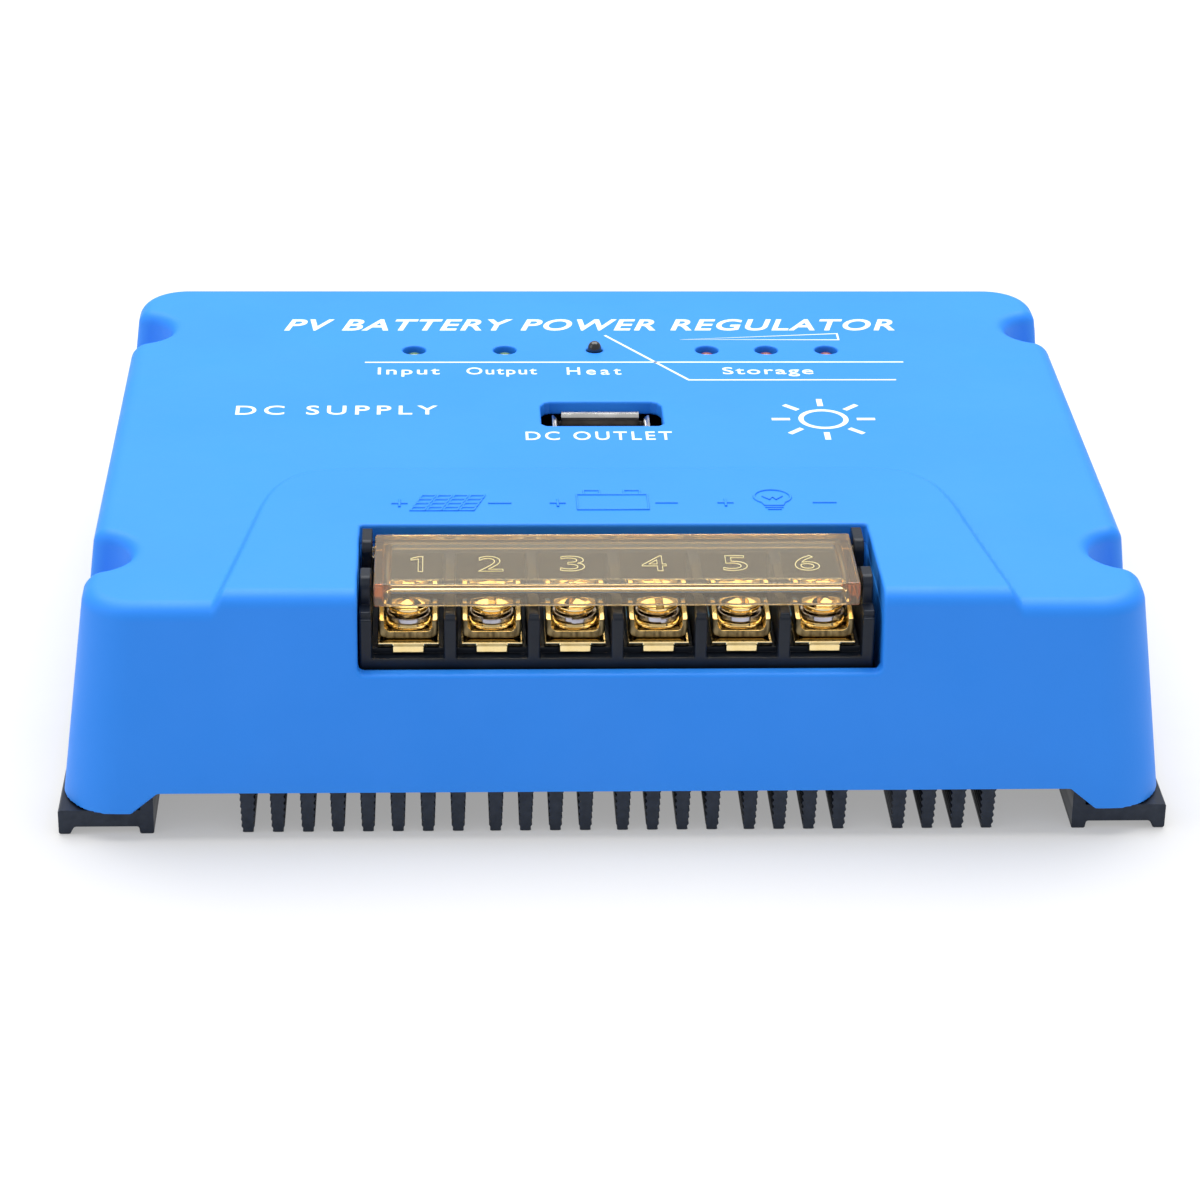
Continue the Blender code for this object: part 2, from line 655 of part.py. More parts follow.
capacitor = add(
    "capacitor_1",
    turned([(4.6, 17.4), (5.0, 17.8), (5.0, 18.6), (4.7, 19.0), (5.0, 19.4), (5.0, 29.4), (4.6, 29.8), (3.9, 29.6)], 20),
    BLACK_PLASTIC,
)
smooth(capacitor)
capacitor.location = (24.0 * MM, 14.0 * MM, 0)
copy(capacitor, "capacitor_2", (36.0, 14.0, 0))

fuse = add(
    "fuse",
    loft([
        [(x, -14.0 + r * math.cos(2 * math.pi * i / 14), 20.3 + r * math.sin(2 * math.pi * i / 14)) for i in range(14)]
        for x, r in ((22.0, 2.4), (22.3, 2.7), (27.0, 2.7), (27.0, 2.4), (37.0, 2.4), (37.0, 2.7), (41.7, 2.7), (42.0, 2.4))
    ]),
    WHITE,
)
smooth(fuse)

control_chip = add("control_chip", box(-5.0, 5.0, 18.0, 26.0, 17.6, 19.0), BLACK_PLASTIC)
for k in range(5):
    x = -4.0 + 2.0 * k
    join(control_chip, box(x - 0.3, x + 0.3, 16.8, 27.2, 17.4, 17.9))

thermal_pad = add("thermal_pad", box(-31.0, 31.0, 30.0, 48.0, BASE_TOP + 0.2, BASE_TOP + 0.6), GREY)
mosfet = add("mosfet_1", box(-5.0, 5.0, 0.0, 9.2, 10.8, 15.3), BLACK_PLASTIC)
join(mosfet, box(-5.0, 5.0, 0.2, 15.6, 10.8, 12.1))
cut(mosfet, rod(0, 12.6, 1.8, 10.0, 13.0, 12))
for x in (-2.54, 0.0, 2.54):
    join(mosfet, box(x - 0.4, x + 0.4, -3.0, 0.4, 13.0, 13.5))
    join(mosfet, box(x - 0.4, x + 0.4, -3.0, -2.5, 13.0, 15.3))
mosfet.location = (-22.0 * MM, 31.4 * MM, 0)
copy(mosfet, "mosfet_2", (0.0, 31.4, 0))
copy(mosfet, "mosfet_3", (22.0, 31.4, 0))
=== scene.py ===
"""Looks of the solar charge controller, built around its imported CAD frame.

Lengths in the builders below are millimetres; they become metres when a mesh is made.
"""

import math

import bmesh
import bpy
import numpy as np
from mathutils import Matrix, Vector


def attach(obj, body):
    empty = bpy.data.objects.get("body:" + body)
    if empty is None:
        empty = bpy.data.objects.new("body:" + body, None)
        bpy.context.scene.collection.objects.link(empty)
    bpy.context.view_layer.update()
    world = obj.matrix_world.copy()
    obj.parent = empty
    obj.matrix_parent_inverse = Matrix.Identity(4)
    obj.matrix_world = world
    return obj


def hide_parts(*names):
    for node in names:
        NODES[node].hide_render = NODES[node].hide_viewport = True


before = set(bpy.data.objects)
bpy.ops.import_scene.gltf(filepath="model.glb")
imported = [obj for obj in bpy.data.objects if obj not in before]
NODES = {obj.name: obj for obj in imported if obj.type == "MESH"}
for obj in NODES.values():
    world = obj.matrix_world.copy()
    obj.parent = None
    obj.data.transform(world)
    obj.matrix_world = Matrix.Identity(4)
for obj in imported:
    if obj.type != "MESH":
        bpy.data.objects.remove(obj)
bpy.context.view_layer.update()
SCENE = bpy.context.scene
MM = 0.001

# ------------------------------------------------------------------ sizes shared with the CAD
COVER_TOP = 32.9
SCALLOP_X, SCALLOP_R, SCALLOP_Y = 70.5, 5.8, (-40.65, 40.85)
PAD_BACK = -13.5
PAD_FRONT = -57.81
PAD_RISE = 1.65
RECESS = (-34.15, 34.85, -34.6)
LIP = 23.25
LAMP_Y = 31.3
LAMP_X = (-27.3, -13.5, 17.4, 26.5, 35.7)
TEMP_X = 0.2
AXIS_Y = -50.5
TERMINAL_X = [11.0 * (i - 2.5) for i in range(6)]
TURN = (-50, 5, 60, 95, 20, 55)
HINGE_Y, HINGE_Z = -41.0, 32.7


# ------------------------------------------------------------------ materials
def nodes_of(name):
    mat = bpy.data.materials.new(name)
    mat.use_nodes = True
    tree = mat.node_tree
    return mat, tree, tree.nodes["Principled BSDF"], tree.nodes["Material Output"]


def noise(tree, source, scale, detail=3.0, roughness=0.5, stretch=(1, 1, 1)):
    mapping = tree.nodes.new("ShaderNodeMapping")
    mapping.inputs["Scale"].default_value = stretch
    tree.links.new(source, mapping.inputs["Vector"])
    tex = tree.nodes.new("ShaderNodeTexNoise")
    tex.inputs["Scale"].default_value = scale
    tex.inputs["Detail"].default_value = detail
    tex.inputs["Roughness"].default_value = roughness
    tree.links.new(mapping.outputs["Vector"], tex.inputs["Vector"])
    return tex.outputs["Fac"]


def spread(tree, value, low, high, from_low=0.3, from_high=0.7):
    node = tree.nodes.new("ShaderNodeMapRange")
    node.inputs["From Min"].default_value = from_low
    node.inputs["From Max"].default_value = from_high
    node.inputs["To Min"].default_value = low
    node.inputs["To Max"].default_value = high
    tree.links.new(value, node.inputs["Value"])
    return node.outputs["Result"]


def surface(
    name,
    colour,
    second,
    rough,
    metallic=0.0,
    blotch=60.0,
    grain=2500.0,
    depth=0.00002,
    strength=0.25,
    stretch=(1, 1, 1),
    rough_scale=180.0,
    **sockets,
):
    """Two close colours mixed by a broad noise, roughness varied by a second one, and a fine relief from a third."""
    mat, tree, shader, _ = nodes_of(name)
    place = tree.nodes.new("ShaderNodeTexCoord").outputs["Object"]
    ramp = tree.nodes.new("ShaderNodeValToRGB")
    ramp.color_ramp.elements[0].position = 0.35
    ramp.color_ramp.elements[1].position = 0.65
    ramp.color_ramp.elements[0].color = (*colour, 1)
    ramp.color_ramp.elements[1].color = (*second, 1)
    tree.links.new(noise(tree, place, blotch, 4.0, 0.55, stretch), ramp.inputs["Fac"])
    tree.links.new(ramp.outputs["Color"], shader.inputs["Base Color"])
    tree.links.new(
        spread(tree, noise(tree, place, rough_scale, 3.0, 0.5, stretch), rough[0], rough[1]),
        shader.inputs["Roughness"],
    )
    shader.inputs["Metallic"].default_value = metallic
    bump = tree.nodes.new("ShaderNodeBump")
    bump.inputs["Strength"].default_value = strength
    bump.inputs["Distance"].default_value = depth
    tree.links.new(noise(tree, place, grain, 2.0, 0.6, stretch), bump.inputs["Height"])
    tree.links.new(bump.outputs["Normal"], shader.inputs["Normal"])
    for key, value in sockets.items():
        shader.inputs[key.replace("_", " ")].default_value = value
    return mat


COVER_BLUE = surface(
    "cover_satin_blue", (0.019, 0.262, 0.95), (0.023, 0.274, 0.98), (0.46, 0.58), blotch=35.0, grain=2600.0,
    depth=0.00003, strength=0.35, rough_scale=90.0, IOR=1.5, Specular_IOR_Level=0.36,
)
SINK_BLACK = surface(
    "sink_anodised_black", (0.017, 0.024, 0.039), (0.025, 0.033, 0.051), (0.36, 0.54), metallic=0.5, blotch=900.0,
    grain=4200.0, depth=0.00003, strength=0.5, stretch=(1, 0.02, 1), rough_scale=700.0,
)
BLOCK_BLACK = surface(
    "block_moulded_black", (0.006, 0.010, 0.019), (0.010, 0.015, 0.026), (0.3, 0.46), blotch=140.0, grain=2200.0,
    depth=0.00003, strength=0.3, rough_scale=300.0, IOR=1.46, Specular_IOR_Level=0.34,
)
BRASS = surface(
    "terminal_bright_brass", (0.86, 0.66, 0.30), (0.93, 0.76, 0.42), (0.09, 0.24), metallic=1.0, blotch=420.0,
    grain=900.0, depth=0.00006, strength=0.35, rough_scale=650.0,
)
BRASS_SCREW = surface(
    "screw_bright_brass", (0.84, 0.64, 0.30), (0.94, 0.78, 0.46), (0.07, 0.2), metallic=1.0, blotch=520.0,
    grain=1200.0, depth=0.00005, strength=0.3, rough_scale=800.0,
)
# dark brass for the front and back faces of the stamped parts: a painted dark reflection, on edges that are also
# rougher sheared metal
SHEARED_EDGE_PAINTED_REFLECTION = surface(
    "brass_sheared_edge_painted_reflection", (0.13, 0.10, 0.055), (0.34, 0.26, 0.13), (0.32, 0.55), metallic=1.0, blotch=1500.0,
    grain=2600.0, depth=0.00012, strength=0.7, stretch=(1, 1, 0.4), rough_scale=900.0,
)
STEEL = surface(
    "fastener_zinc_steel", (0.56, 0.56, 0.55), (0.66, 0.66, 0.64), (0.22, 0.4), metallic=1.0, blotch=300.0,
    grain=1500.0, depth=0.00004, strength=0.3, rough_scale=500.0,
)
SOCKET_STEEL = surface(
    "socket_tinned_steel", (0.70, 0.69, 0.67), (0.80, 0.79, 0.77), (0.18, 0.32), metallic=1.0, blotch=260.0,
    grain=1400.0, depth=0.00003, strength=0.3, rough_scale=400.0,
)
# darker tin for the inside walls of the socket: painted shade in the recess
SOCKET_PAINTED_SHADE = surface(
    "socket_tin_painted_shade", (0.055, 0.047, 0.042), (0.085, 0.074, 0.066), (0.3, 0.45), metallic=0.9, blotch=260.0, grain=1400.0,
    depth=0.00003, strength=0.3, rough_scale=400.0,
)
RING_STEEL = surface(
    "ring_dark_steel", (0.34, 0.33, 0.38), (0.46, 0.45, 0.51), (0.14, 0.26), metallic=1.0, blotch=420.0, grain=1300.0,
    depth=0.00005, strength=0.35, rough_scale=600.0,
)
SOCKET_WHITE = surface(
    "socket_tongue_white", (0.68, 0.68, 0.66), (0.76, 0.76, 0.73), (0.4, 0.55), blotch=200.0, grain=1800.0,
)
PRINT_WHITE = surface(
    "print_white_ink", (0.80, 0.90, 0.93), (0.88, 0.95, 0.96), (0.45, 0.6), blotch=500.0, grain=3000.0,
    depth=0.00001, strength=0.25,
)
LAMP_GREEN = surface(
    "lamp_green_epoxy", (0.060, 0.150, 0.065), (0.090, 0.200, 0.090), (0.06, 0.16), blotch=300.0, grain=800.0,
    depth=0.00002, strength=0.15, IOR=1.54, Coat_Weight=0.6,
)
LAMP_RED = surface(
    "lamp_red_epoxy", (0.190, 0.040, 0.036), (0.250, 0.062, 0.050), (0.06, 0.16), blotch=300.0, grain=800.0,
    depth=0.00002, strength=0.15, IOR=1.54, Coat_Weight=0.6,
)
BEAD_BLACK = surface(
    "sensor_black_epoxy", (0.012, 0.012, 0.013), (0.022, 0.022, 0.022), (0.07, 0.2), blotch=400.0, grain=900.0,
    depth=0.00004, strength=0.3, IOR=1.55, Coat_Weight=0.4,
)
BOARD_GREEN = surface(
    "board_solder_mask", (0.012, 0.085, 0.035), (0.020, 0.120, 0.050), (0.25, 0.4), blotch=160.0, grain=1200.0,
)
CORE_YELLOW = surface(
    "core_powder_coat", (0.50, 0.42, 0.08), (0.60, 0.50, 0.12), (0.5, 0.7), blotch=400.0, grain=2400.0,
    depth=0.00008, strength=0.5,
)
COPPER = surface(
    "winding_enamelled_copper", (0.50, 0.18, 0.07), (0.62, 0.26, 0.11), (0.2, 0.35), metallic=0.9, blotch=300.0,
    grain=1200.0, depth=0.0002, strength=0.6, stretch=(1, 1, 0.2),
)
PART_BLACK = surface(
    "package_moulded_black", (0.020, 0.020, 0.022), (0.032, 0.032, 0.034), (0.45, 0.62), blotch=300.0, grain=2600.0,
    depth=0.00004, strength=0.4,
)
PAD_GREY = surface(
    "pad_silicone_grey", (0.30, 0.30, 0.33), (0.38, 0.38, 0.41), (0.6, 0.75), blotch=300.0, grain=2000.0,
    depth=0.00005, strength=0.5,
)
FUSE_GLASS = surface(
    "fuse_clear_glass", (0.82, 0.87, 0.86), (0.88, 0.92, 0.91), (0.03, 0.08), blotch=100.0, grain=400.0,
    depth=0.00001, strength=0.1, Transmission_Weight=0.8, IOR=1.5,
)
LID_AMBER = surface(
    "lid_clear_amber", (1.0, 0.96, 0.84), (0.98, 0.93, 0.80), (0.03, 0.09), blotch=90.0, grain=500.0,
    depth=0.00001, strength=0.12, rough_scale=220.0, Transmission_Weight=0.9, IOR=1.5,
)
_tree = LID_AMBER.node_tree
_soak = _tree.nodes.new("ShaderNodeVolumeAbsorption")
_soak.inputs["Color"].default_value = (0.97, 0.76, 0.30, 1.0)
_soak.inputs["Density"].default_value = 420.0
_tree.links.new(_soak.outputs["Volume"], _tree.nodes["Material Output"].inputs["Volume"])
DIGIT_AMBER = surface(
    "digit_pale_amber", (0.88, 0.76, 0.38), (0.95, 0.84, 0.48), (0.2, 0.32), blotch=400.0, grain=1200.0,
    depth=0.00002, strength=0.2,
)


# ------------------------------------------------------------------ mesh helpers
def dress(obj, look):
    obj.data.materials.clear()
    obj.data.materials.append(look)


def piece(name, mesh, look, body, nodes=(), location=(0, 0, 0), turn=0.0):
    """Makes an object from a mesh in metres, gives it its finish and lets it ride on a body in place of the CAD nodes."""
    obj = bpy.data.objects.new(name, mesh)
    SCENE.collection.objects.link(obj)
    obj.location = [c * MM for c in location]
    obj.rotation_euler = (0, 0, turn)
    if look is not None and not mesh.materials:
        mesh.materials.append(look)
    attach(obj, body)
    if nodes:
        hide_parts(*nodes)
    return obj


def from_bmesh(name, bm, angle=35.0):
    bmesh.ops.remove_doubles(bm, verts=bm.verts, dist=1e-5)
    bmesh.ops.recalc_face_normals(bm, faces=bm.faces)
    bmesh.ops.scale(bm, verts=bm.verts, vec=(MM, MM, MM))
    mesh = bpy.data.meshes.new(name)
    bm.to_mesh(mesh)
    bm.free()
    mesh.shade_smooth()
    mesh.set_sharp_from_angle(angle=math.radians(angle))
    return mesh


def loft(rings):
    bm = bmesh.new()
    made = [[bm.verts.new(p) for p in ring] for ring in rings]
    n = len(made[0])
    for a, b in zip(made, made[1:]):
        for i in range(n):
            j = (i + 1) % n
            bm.faces.new((a[i], a[j], b[j], b[i]))
    bm.faces.new(list(reversed(made[0])))
    bm.faces.new(made[-1])
    return bm


def turned(profile, n=40):
    return loft(
        [
            [(r * math.cos(2 * math.pi * i / n), r * math.sin(2 * math.pi * i / n), z) for i in range(n)]
            for r, z in profile
        ]
    )


def rod(cx, cy, r, z0, z1, n=32):
    ring = [(cx + r * math.cos(2 * math.pi * i / n), cy + r * math.sin(2 * math.pi * i / n)) for i in range(n)]
    return loft([[(x, y, z) for x, y in ring] for z in (z0, z1)])


# ------------------------------------------------------------------ distance fields, millimetres
def rmax(a, b, r):
    """Intersection of two solids with the edge between them rounded."""
    return np.minimum(np.maximum(a, b), -r) + np.sqrt(np.maximum(a + r, 0) ** 2 + np.maximum(b + r, 0) ** 2)


def rmin(a, b, r):
    """Union of two solids with a fillet of radius r between them."""
    return -rmax(-a, -b, r)


def rbox(x, y, z, x0, x1, y0, y1, z0, z1, r=0.0):
    qx = np.abs(x - (x0 + x1) / 2) - (x1 - x0) / 2 + r
    qy = np.abs(y - (y0 + y1) / 2) - (y1 - y0) / 2 + r
    qz = np.abs(z - (z0 + z1) / 2) - (z1 - z0) / 2 + r
    far = np.sqrt(np.maximum(qx, 0) ** 2 + np.maximum(qy, 0) ** 2 + np.maximum(qz, 0) ** 2)
    return far + np.minimum(np.maximum(np.maximum(qx, qy), qz), 0) - r


def rect2(x, y, hx, hy, r):
    qx, qy = np.abs(x) - hx + r, np.abs(y) - hy + r
    return np.sqrt(np.maximum(qx, 0) ** 2 + np.maximum(qy, 0) ** 2) + np.minimum(np.maximum(qx, qy), 0) - r


def cyl(x, y, cx, cy, r):
    return np.sqrt((x - cx) ** 2 + (y - cy) ** 2) - r


def poly(x, y, points):
    """Signed distance to a closed outline in the plane, negative inside."""
    x, y = np.broadcast_arrays(x, y)
    best = np.full(x.shape, 1e9)
    inside = np.zeros(x.shape, bool)
    for (ax, ay), (bx, by) in zip(points, points[1:] + points[:1]):
        ex, ey = bx - ax, by - ay
        wx, wy = x - ax, y - ay
        t = np.clip((wx * ex + wy * ey) / (ex * ex + ey * ey + 1e-12), 0, 1)
        best = np.minimum(best, (wx - ex * t) ** 2 + (wy - ey * t) ** 2)
        if ay != by:
            inside ^= ((ay > y) != (by > y)) & (x < ex * (y - ay) / (by - ay) + ax)
    return np.sqrt(best) * np.where(inside, -1.0, 1.0)


def near(x, y, points, margin=2.0):
    """The outline's distance close to it, and a lower bound further off."""
    x, y = np.broadcast_arrays(x, y)
    px, py = [p[0] for p in points], [p[1] for p in points]
    d = np.maximum(np.maximum(min(px) - x, x - max(px)), np.maximum(min(py) - y, y - max(py)))
    on = d < margin
    d[on] = poly(x[on], y[on], points)
    return d


def step01(t):
    t = np.clip(t, 0, 1)
    return t * t * (3 - 2 * t)


def lines(low, high, coarse, *bands):
    """Grid coordinates from low to high: steps of a band's own size inside it, growing to the coarse one away from it."""
    out, x = [low], low
    while x < high:
        step = coarse
        for a, b, fine in bands:
            step = min(step, fine + 0.45 * max(a - x - fine, x - b, 0.0))
        x += step
        out.append(x)
    return np.array(out)


def slope(field, p, h=0.015):
    g = np.empty_like(p)
    for k in range(3):
        q = [p[:, 0], p[:, 1], p[:, 2]]
        a, b = list(q), list(q)
        a[k], b[k] = q[k] + h, q[k] - h
        g[:, k] = (field(*a) - field(*b)) / (2 * h)
    return g


def skin(name, field, xs, ys, zs, flat=0.06, rounds=3, patch_size=12.0):
    """The surface where the field is zero, as a closed quad mesh with the field's own normals."""
    F = np.broadcast_to(
        field(xs[:, None, None], ys[None, :, None], zs[None, None, :]), (len(xs), len(ys), len(zs))
    ).astype(np.float64)
    neg = F < 0
    cells = tuple(n - 1 for n in F.shape)
    total = np.zeros(cells, np.int8)
    for i in (0, 1):
        for j in (0, 1):
            for k in (0, 1):
                total += neg[i : i + cells[0], j : j + cells[1], k : k + cells[2]]
    mixed = (total > 0) & (total < 8)
    ids = np.full(cells, -1, np.int64)
    count = int(mixed.sum())
    ids[mixed] = np.arange(count)
    where = np.argwhere(mixed)
    acc, hits = np.zeros((count, 3)), np.zeros(count)
    axes = (xs, ys, zs)
    quads = []
    for axis in range(3):
        lo = [slice(None)] * 3
        hi = [slice(None)] * 3
        lo[axis], hi[axis] = slice(0, -1), slice(1, None)
        cross = np.argwhere(neg[tuple(lo)] != neg[tuple(hi)])
        far = cross.copy()
        far[:, axis] += 1
        f0, f1 = F[tuple(cross.T)], F[tuple(far.T)]
        t = f0 / (f0 - f1)
        pts = np.stack([axes[k][cross[:, k]] for k in range(3)], 1)
        pts[:, axis] += t * (axes[axis][far[:, axis]] - axes[axis][cross[:, axis]])
        b, c = (axis + 1) % 3, (axis + 2) % 3
        around = []
        for db, dc in ((1, 1), (0, 1), (0, 0), (1, 0)):
            cell = cross.copy()
            cell[:, b] -= db
            cell[:, c] -= dc
            ok = np.all(cell >= 0, 1) & np.all(cell < np.array(cells), 1)
            found = np.full(len(cell), -1, np.int64)
            found[ok] = ids[tuple(cell[ok].T)]
            around.append(found)
            good = found >= 0
            for k in range(3):
                acc[:, k] += np.bincount(found[good], pts[good, k], count)
            hits += np.bincount(found[good], minlength=count)
        quad = np.stack(around, 1)
        whole = np.all(quad >= 0, 1)
        quad, out = quad[whole], (f0 > 0)[whole]
        quad[out] = quad[out][:, ::-1]
        quads.append(quad)
    p = acc / hits[:, None]
    quads = np.concatenate(quads)
    size = np.stack([np.diff(axes[k])[where[:, k]] for k in range(3)], 1)
    for _ in range(rounds):
        g = slope(field, p)
        f = field(p[:, 0], p[:, 1], p[:, 2])
        move = -g * (f / np.maximum((g**2).sum(1), 0.05))[:, None]
        p = p + np.clip(move, -size * 0.5, size * 0.5)
    mesh = bpy.data.meshes.new(name)
    mesh.from_pydata(p.tolist(), [], quads.tolist())
    if flat:
        # flat areas are merged patch by patch, which keeps every merged face small
        mid = p[quads].mean(1)
        patch = np.floor((mid - p.min(0)) / patch_size).astype(np.int64)
        mesh.polygons.foreach_set("material_index", ((patch * (1, 7, 53)).sum(1) % 997).astype(np.int32))
        bm = bmesh.new()
        bm.from_mesh(mesh)
        bmesh.ops.dissolve_limit(
            bm, angle_limit=math.radians(flat), verts=bm.verts, edges=bm.edges, use_dissolve_boundaries=False,
            delimit={"MATERIAL"},
        )
        for face in bm.faces:
            face.material_index = 0
        bmesh.ops.dissolve_degenerate(bm, edges=bm.edges, dist=1e-4)
        bm.normal_update()
        bm.to_mesh(mesh)
        bm.free()
    co = np.zeros(len(mesh.vertices) * 3)
    mesh.vertices.foreach_get("co", co)
    co = co.reshape(-1, 3)
    g = slope(field, co)
    g /= np.maximum(np.linalg.norm(g, axis=1), 1e-9)[:, None]
    mesh.vertices.foreach_set("co", (co * MM).ravel())
    mesh.update()
    mesh.shade_smooth()
    mesh.normals_split_custom_set_from_vertices(g.tolist())
    return mesh


# ------------------------------------------------------------------ cover
PAD_SIDE = [(53.7, -66.0), (53.4, PAD_FRONT), (52.7, -54.5), (50.8, -42.7), (49.0, -31.0), (48.5, -27.6), (47.7, -23.7),
            (46.6, -20.2), (45.0, -17.3), (43.0, -15.3), (40.8, -14.0), (38.3, -13.5)]


def rounder(points, times=2):
    """Corner cutting on an open run of points that keeps both ends."""
    for _ in range(times):
        out = [points[0]]
        for (ax, ay), (bx, by) in zip(points, points[1:]):
            out += [(0.75 * ax + 0.25 * bx, 0.75 * ay + 0.25 * by), (0.25 * ax + 0.75 * bx, 0.25 * ay + 0.75 * by)]
        points = out + [points[-1]]
    return points


_side = rounder(PAD_SIDE, 1)
PAD = _side + [(-x, y) for x, y in reversed(_side)]


def pad_rise(y):
    return 0.3 + (PAD_RISE - 0.3) * np.clip((PAD_BACK - y) / (PAD_BACK - PAD_FRONT), 0, 1.06)


def cover_top(x, y):
    x, y = np.broadcast_arrays(x, y)
    top = np.full(x.shape, COVER_TOP)
    on = (y < PAD_BACK) & (np.abs(x) < 54.0)
    px, py = x[on], y[on]
    d = poly(px, py, PAD)
    width = 1.05 + 0.9 * np.clip((PAD_BACK - 8.0 - py) / (PAD_BACK - PAD_FRONT), 0, 1)
    top[on] += pad_rise(py) * step01(-d / width)
    return top


USB_HOLE = [(-8.6, 2.6), (-7.8, 1.8), (8.4, 1.8), (9.2, 2.6), (9.2, 9.2), (8.6, 10.4), (7.8, 10.8), (-7.2, 10.8), (-8.0, 10.4), (-8.6, 9.2)]


def cover_field(x, y, z):
    hx = 73.8 - 0.1229 * (z - 3.6)
    hy = 61.4 - 0.115 * (z - 3.6)
    side = rect2(x, y, hx, hy, 8.0 - 0.03 * (z - 3.6)) * 0.993
    body = rmax(side, z - cover_top(x, y), 2.2)
    for sx in (-1, 1):
        for sy in SCALLOP_Y:
            body = rmax(body, -cyl(x, y, sx * SCALLOP_X, sy, SCALLOP_R), 1.9)
    wall = 1.15 + 1.0 * step01((z - 10.2) / 1.2)
    inner = np.maximum(body + wall, z - 30.9)
    shell = rmax(body, -inner, 0.2)
    skirt = rbox(x, y, z, RECESS[0] - 1.5, RECESS[1] + 1.5, -57.6, RECESS[2] + 1.5, 20.0, 31.0, 0.2)
    shell = np.minimum(shell, skirt)
    for sx in (-1, 1):
        for sy in (-1, 1):
            post = np.maximum(cyl(x, y, sx * 54.5, sy * 49.0, 3.5), np.maximum(10.4 - z, z - 31.2))
            post = np.maximum(post, -np.maximum(cyl(x, y, sx * 54.5, sy * 49.0, 1.6), z - 22.0))
            shell = np.minimum(shell, post)
    rim = 3.85 + 2.85 * np.clip((64.3 - np.abs(x)) / 3.4, 0, 1)
    shell = rmax(shell, (rim - z) * np.where((np.abs(x) > 60.9) & (np.abs(x) < 64.3), 0.77, 1.0), 0.12)
    deep = rbox(x, y, z, RECESS[0], RECESS[1], -57.2, RECESS[2], 10.0, 50.0, 0.5)
    front = rbox(x, y, z, RECESS[0], RECESS[1], -80.0, -50.0, LIP, 50.0, 0.9)
    shell = rmax(shell, -np.minimum(deep, front), 0.5)
    for lx in LAMP_X:
        shell = rmax(shell, -np.maximum(cyl(x, y, lx, LAMP_Y, 1.75), 25.0 - z), 0.28)
    shell = rmax(shell, -np.maximum(cyl(x, y, TEMP_X, LAMP_Y, 1.25), 25.0 - z), 0.25)
    return rmax(shell, -np.maximum(near(x, y, USB_HOLE), 25.0 - z), 0.35)


holes = [(lx - 2.4, lx + 2.4, 0.36) for lx in (*LAMP_X, TEMP_X)]
xs = lines(
    -76.0, 76.0, 5.0, (-74.6, -65.0, 0.5), (-65.0, -60.2, 0.3), (60.2, 65.0, 0.3), (65.0, 74.6, 0.5), (-54.5, -38.0, 0.45), (38.0, 54.5, 0.45),
    (-36.2, -33.4, 0.24), (34.1, 36.9, 0.24), (-9.6, -6.8, 0.3), (7.4, 10.0, 0.3), *holes,
)
ys = lines(
    -63.0, 63.0, 5.0, (-62.0, -53.0, 0.45), (-48.5, -33.0, 0.7), (-35.6, -32.6, 0.24), (-15.2, -13.2, 0.2), (-24.0, -13.2, 0.45),
    (1.0, 3.2, 0.3), (8.8, 11.6, 0.3), (LAMP_Y - 2.4, LAMP_Y + 2.4, 0.36), (33.2, 48.5, 0.7), (53.0, 62.0, 0.45),
)
zs = lines(2.6, 36.0, 4.0, (3.5, 7.0, 0.25), (22.6, 24.4, 0.25), (29.6, 35.4, 0.26))
cover = piece(
    "cover_shell", skin("cover_shell", cover_field, xs, ys, zs), COVER_BLUE, "base", ["top_cover"]
)


# ------------------------------------------------------------------ heat sink
FIN_X = (
    [-49.0 + 4.0 * i for i in range(8)]
    + [-16.0 + 4.0 * i for i in range(4)]
    + [1.0 + 4.0 * i for i in range(4)]
    + [18.0 + 4.0 * i for i in range(4)]
    + [38.0 + 4.0 * i for i in range(4)]
)


def fin(x):
    """One fin from its left root to its right root: ribbed sides at about 1 mm, a slightly thicker rounded tip."""
    left = [(x - 1.25, 7.0), (x - 1.1, 6.8)]
    heights = [6.55 - 0.14 * k for k in range(43)]
    for z in heights:
        half = (1.46 + 0.5 * z / 7.0) / 2 + 0.12 * math.cos(2 * math.pi * (z - 0.15) / 0.98)
        left.append((x - half, z))
    for k in range(1, 6):
        a = math.radians(90 * k / 5)
        left.append((x - 0.48 - 0.27 * math.cos(a), 0.37 - 0.27 * math.sin(a)))
    return left + [(2 * x - px, z) for px, z in reversed(left)]


side = [
    (-63.2, 10.0), (-63.2, 3.7), (-63.3, 3.6), (-73.95, 3.6), (-74.15, 3.4), (-74.15, 0.3), (-74.08, 0.1), (-73.9, 0.0), (-72.8, 0.0),
    (-72.6, 0.08), (-72.2, 0.9), (-72.05, 1.08), (-71.8, 1.15), (-63.75, 1.15), (-63.55, 1.08), (-63.45, 0.9),
    (-63.35, 0.12), (-63.2, 0.0), (-61.75, 0.0), (-61.57, 0.07), (-61.5, 0.25), (-61.5, 6.7), (-61.4, 6.92), (-61.2, 7.0),
]
outline = list(side)
for x in FIN_X:
    outline += fin(x)
outline += [(-x, z) for x, z in reversed(side)]
rings = []
for y, inset in ((-59.6, 0.12), (-59.48, 0.0), (59.48, 0.0), (59.6, 0.12)):
    rings.append([(x, y, z + (inset if z < 0.2 else -inset if z > 9.9 else 0.0)) for x, z in outline])
sink = bpy.data.objects.new("sink_extrusion", from_bmesh("sink_extrusion", loft(rings), 40))
SCENE.collection.objects.link(sink)
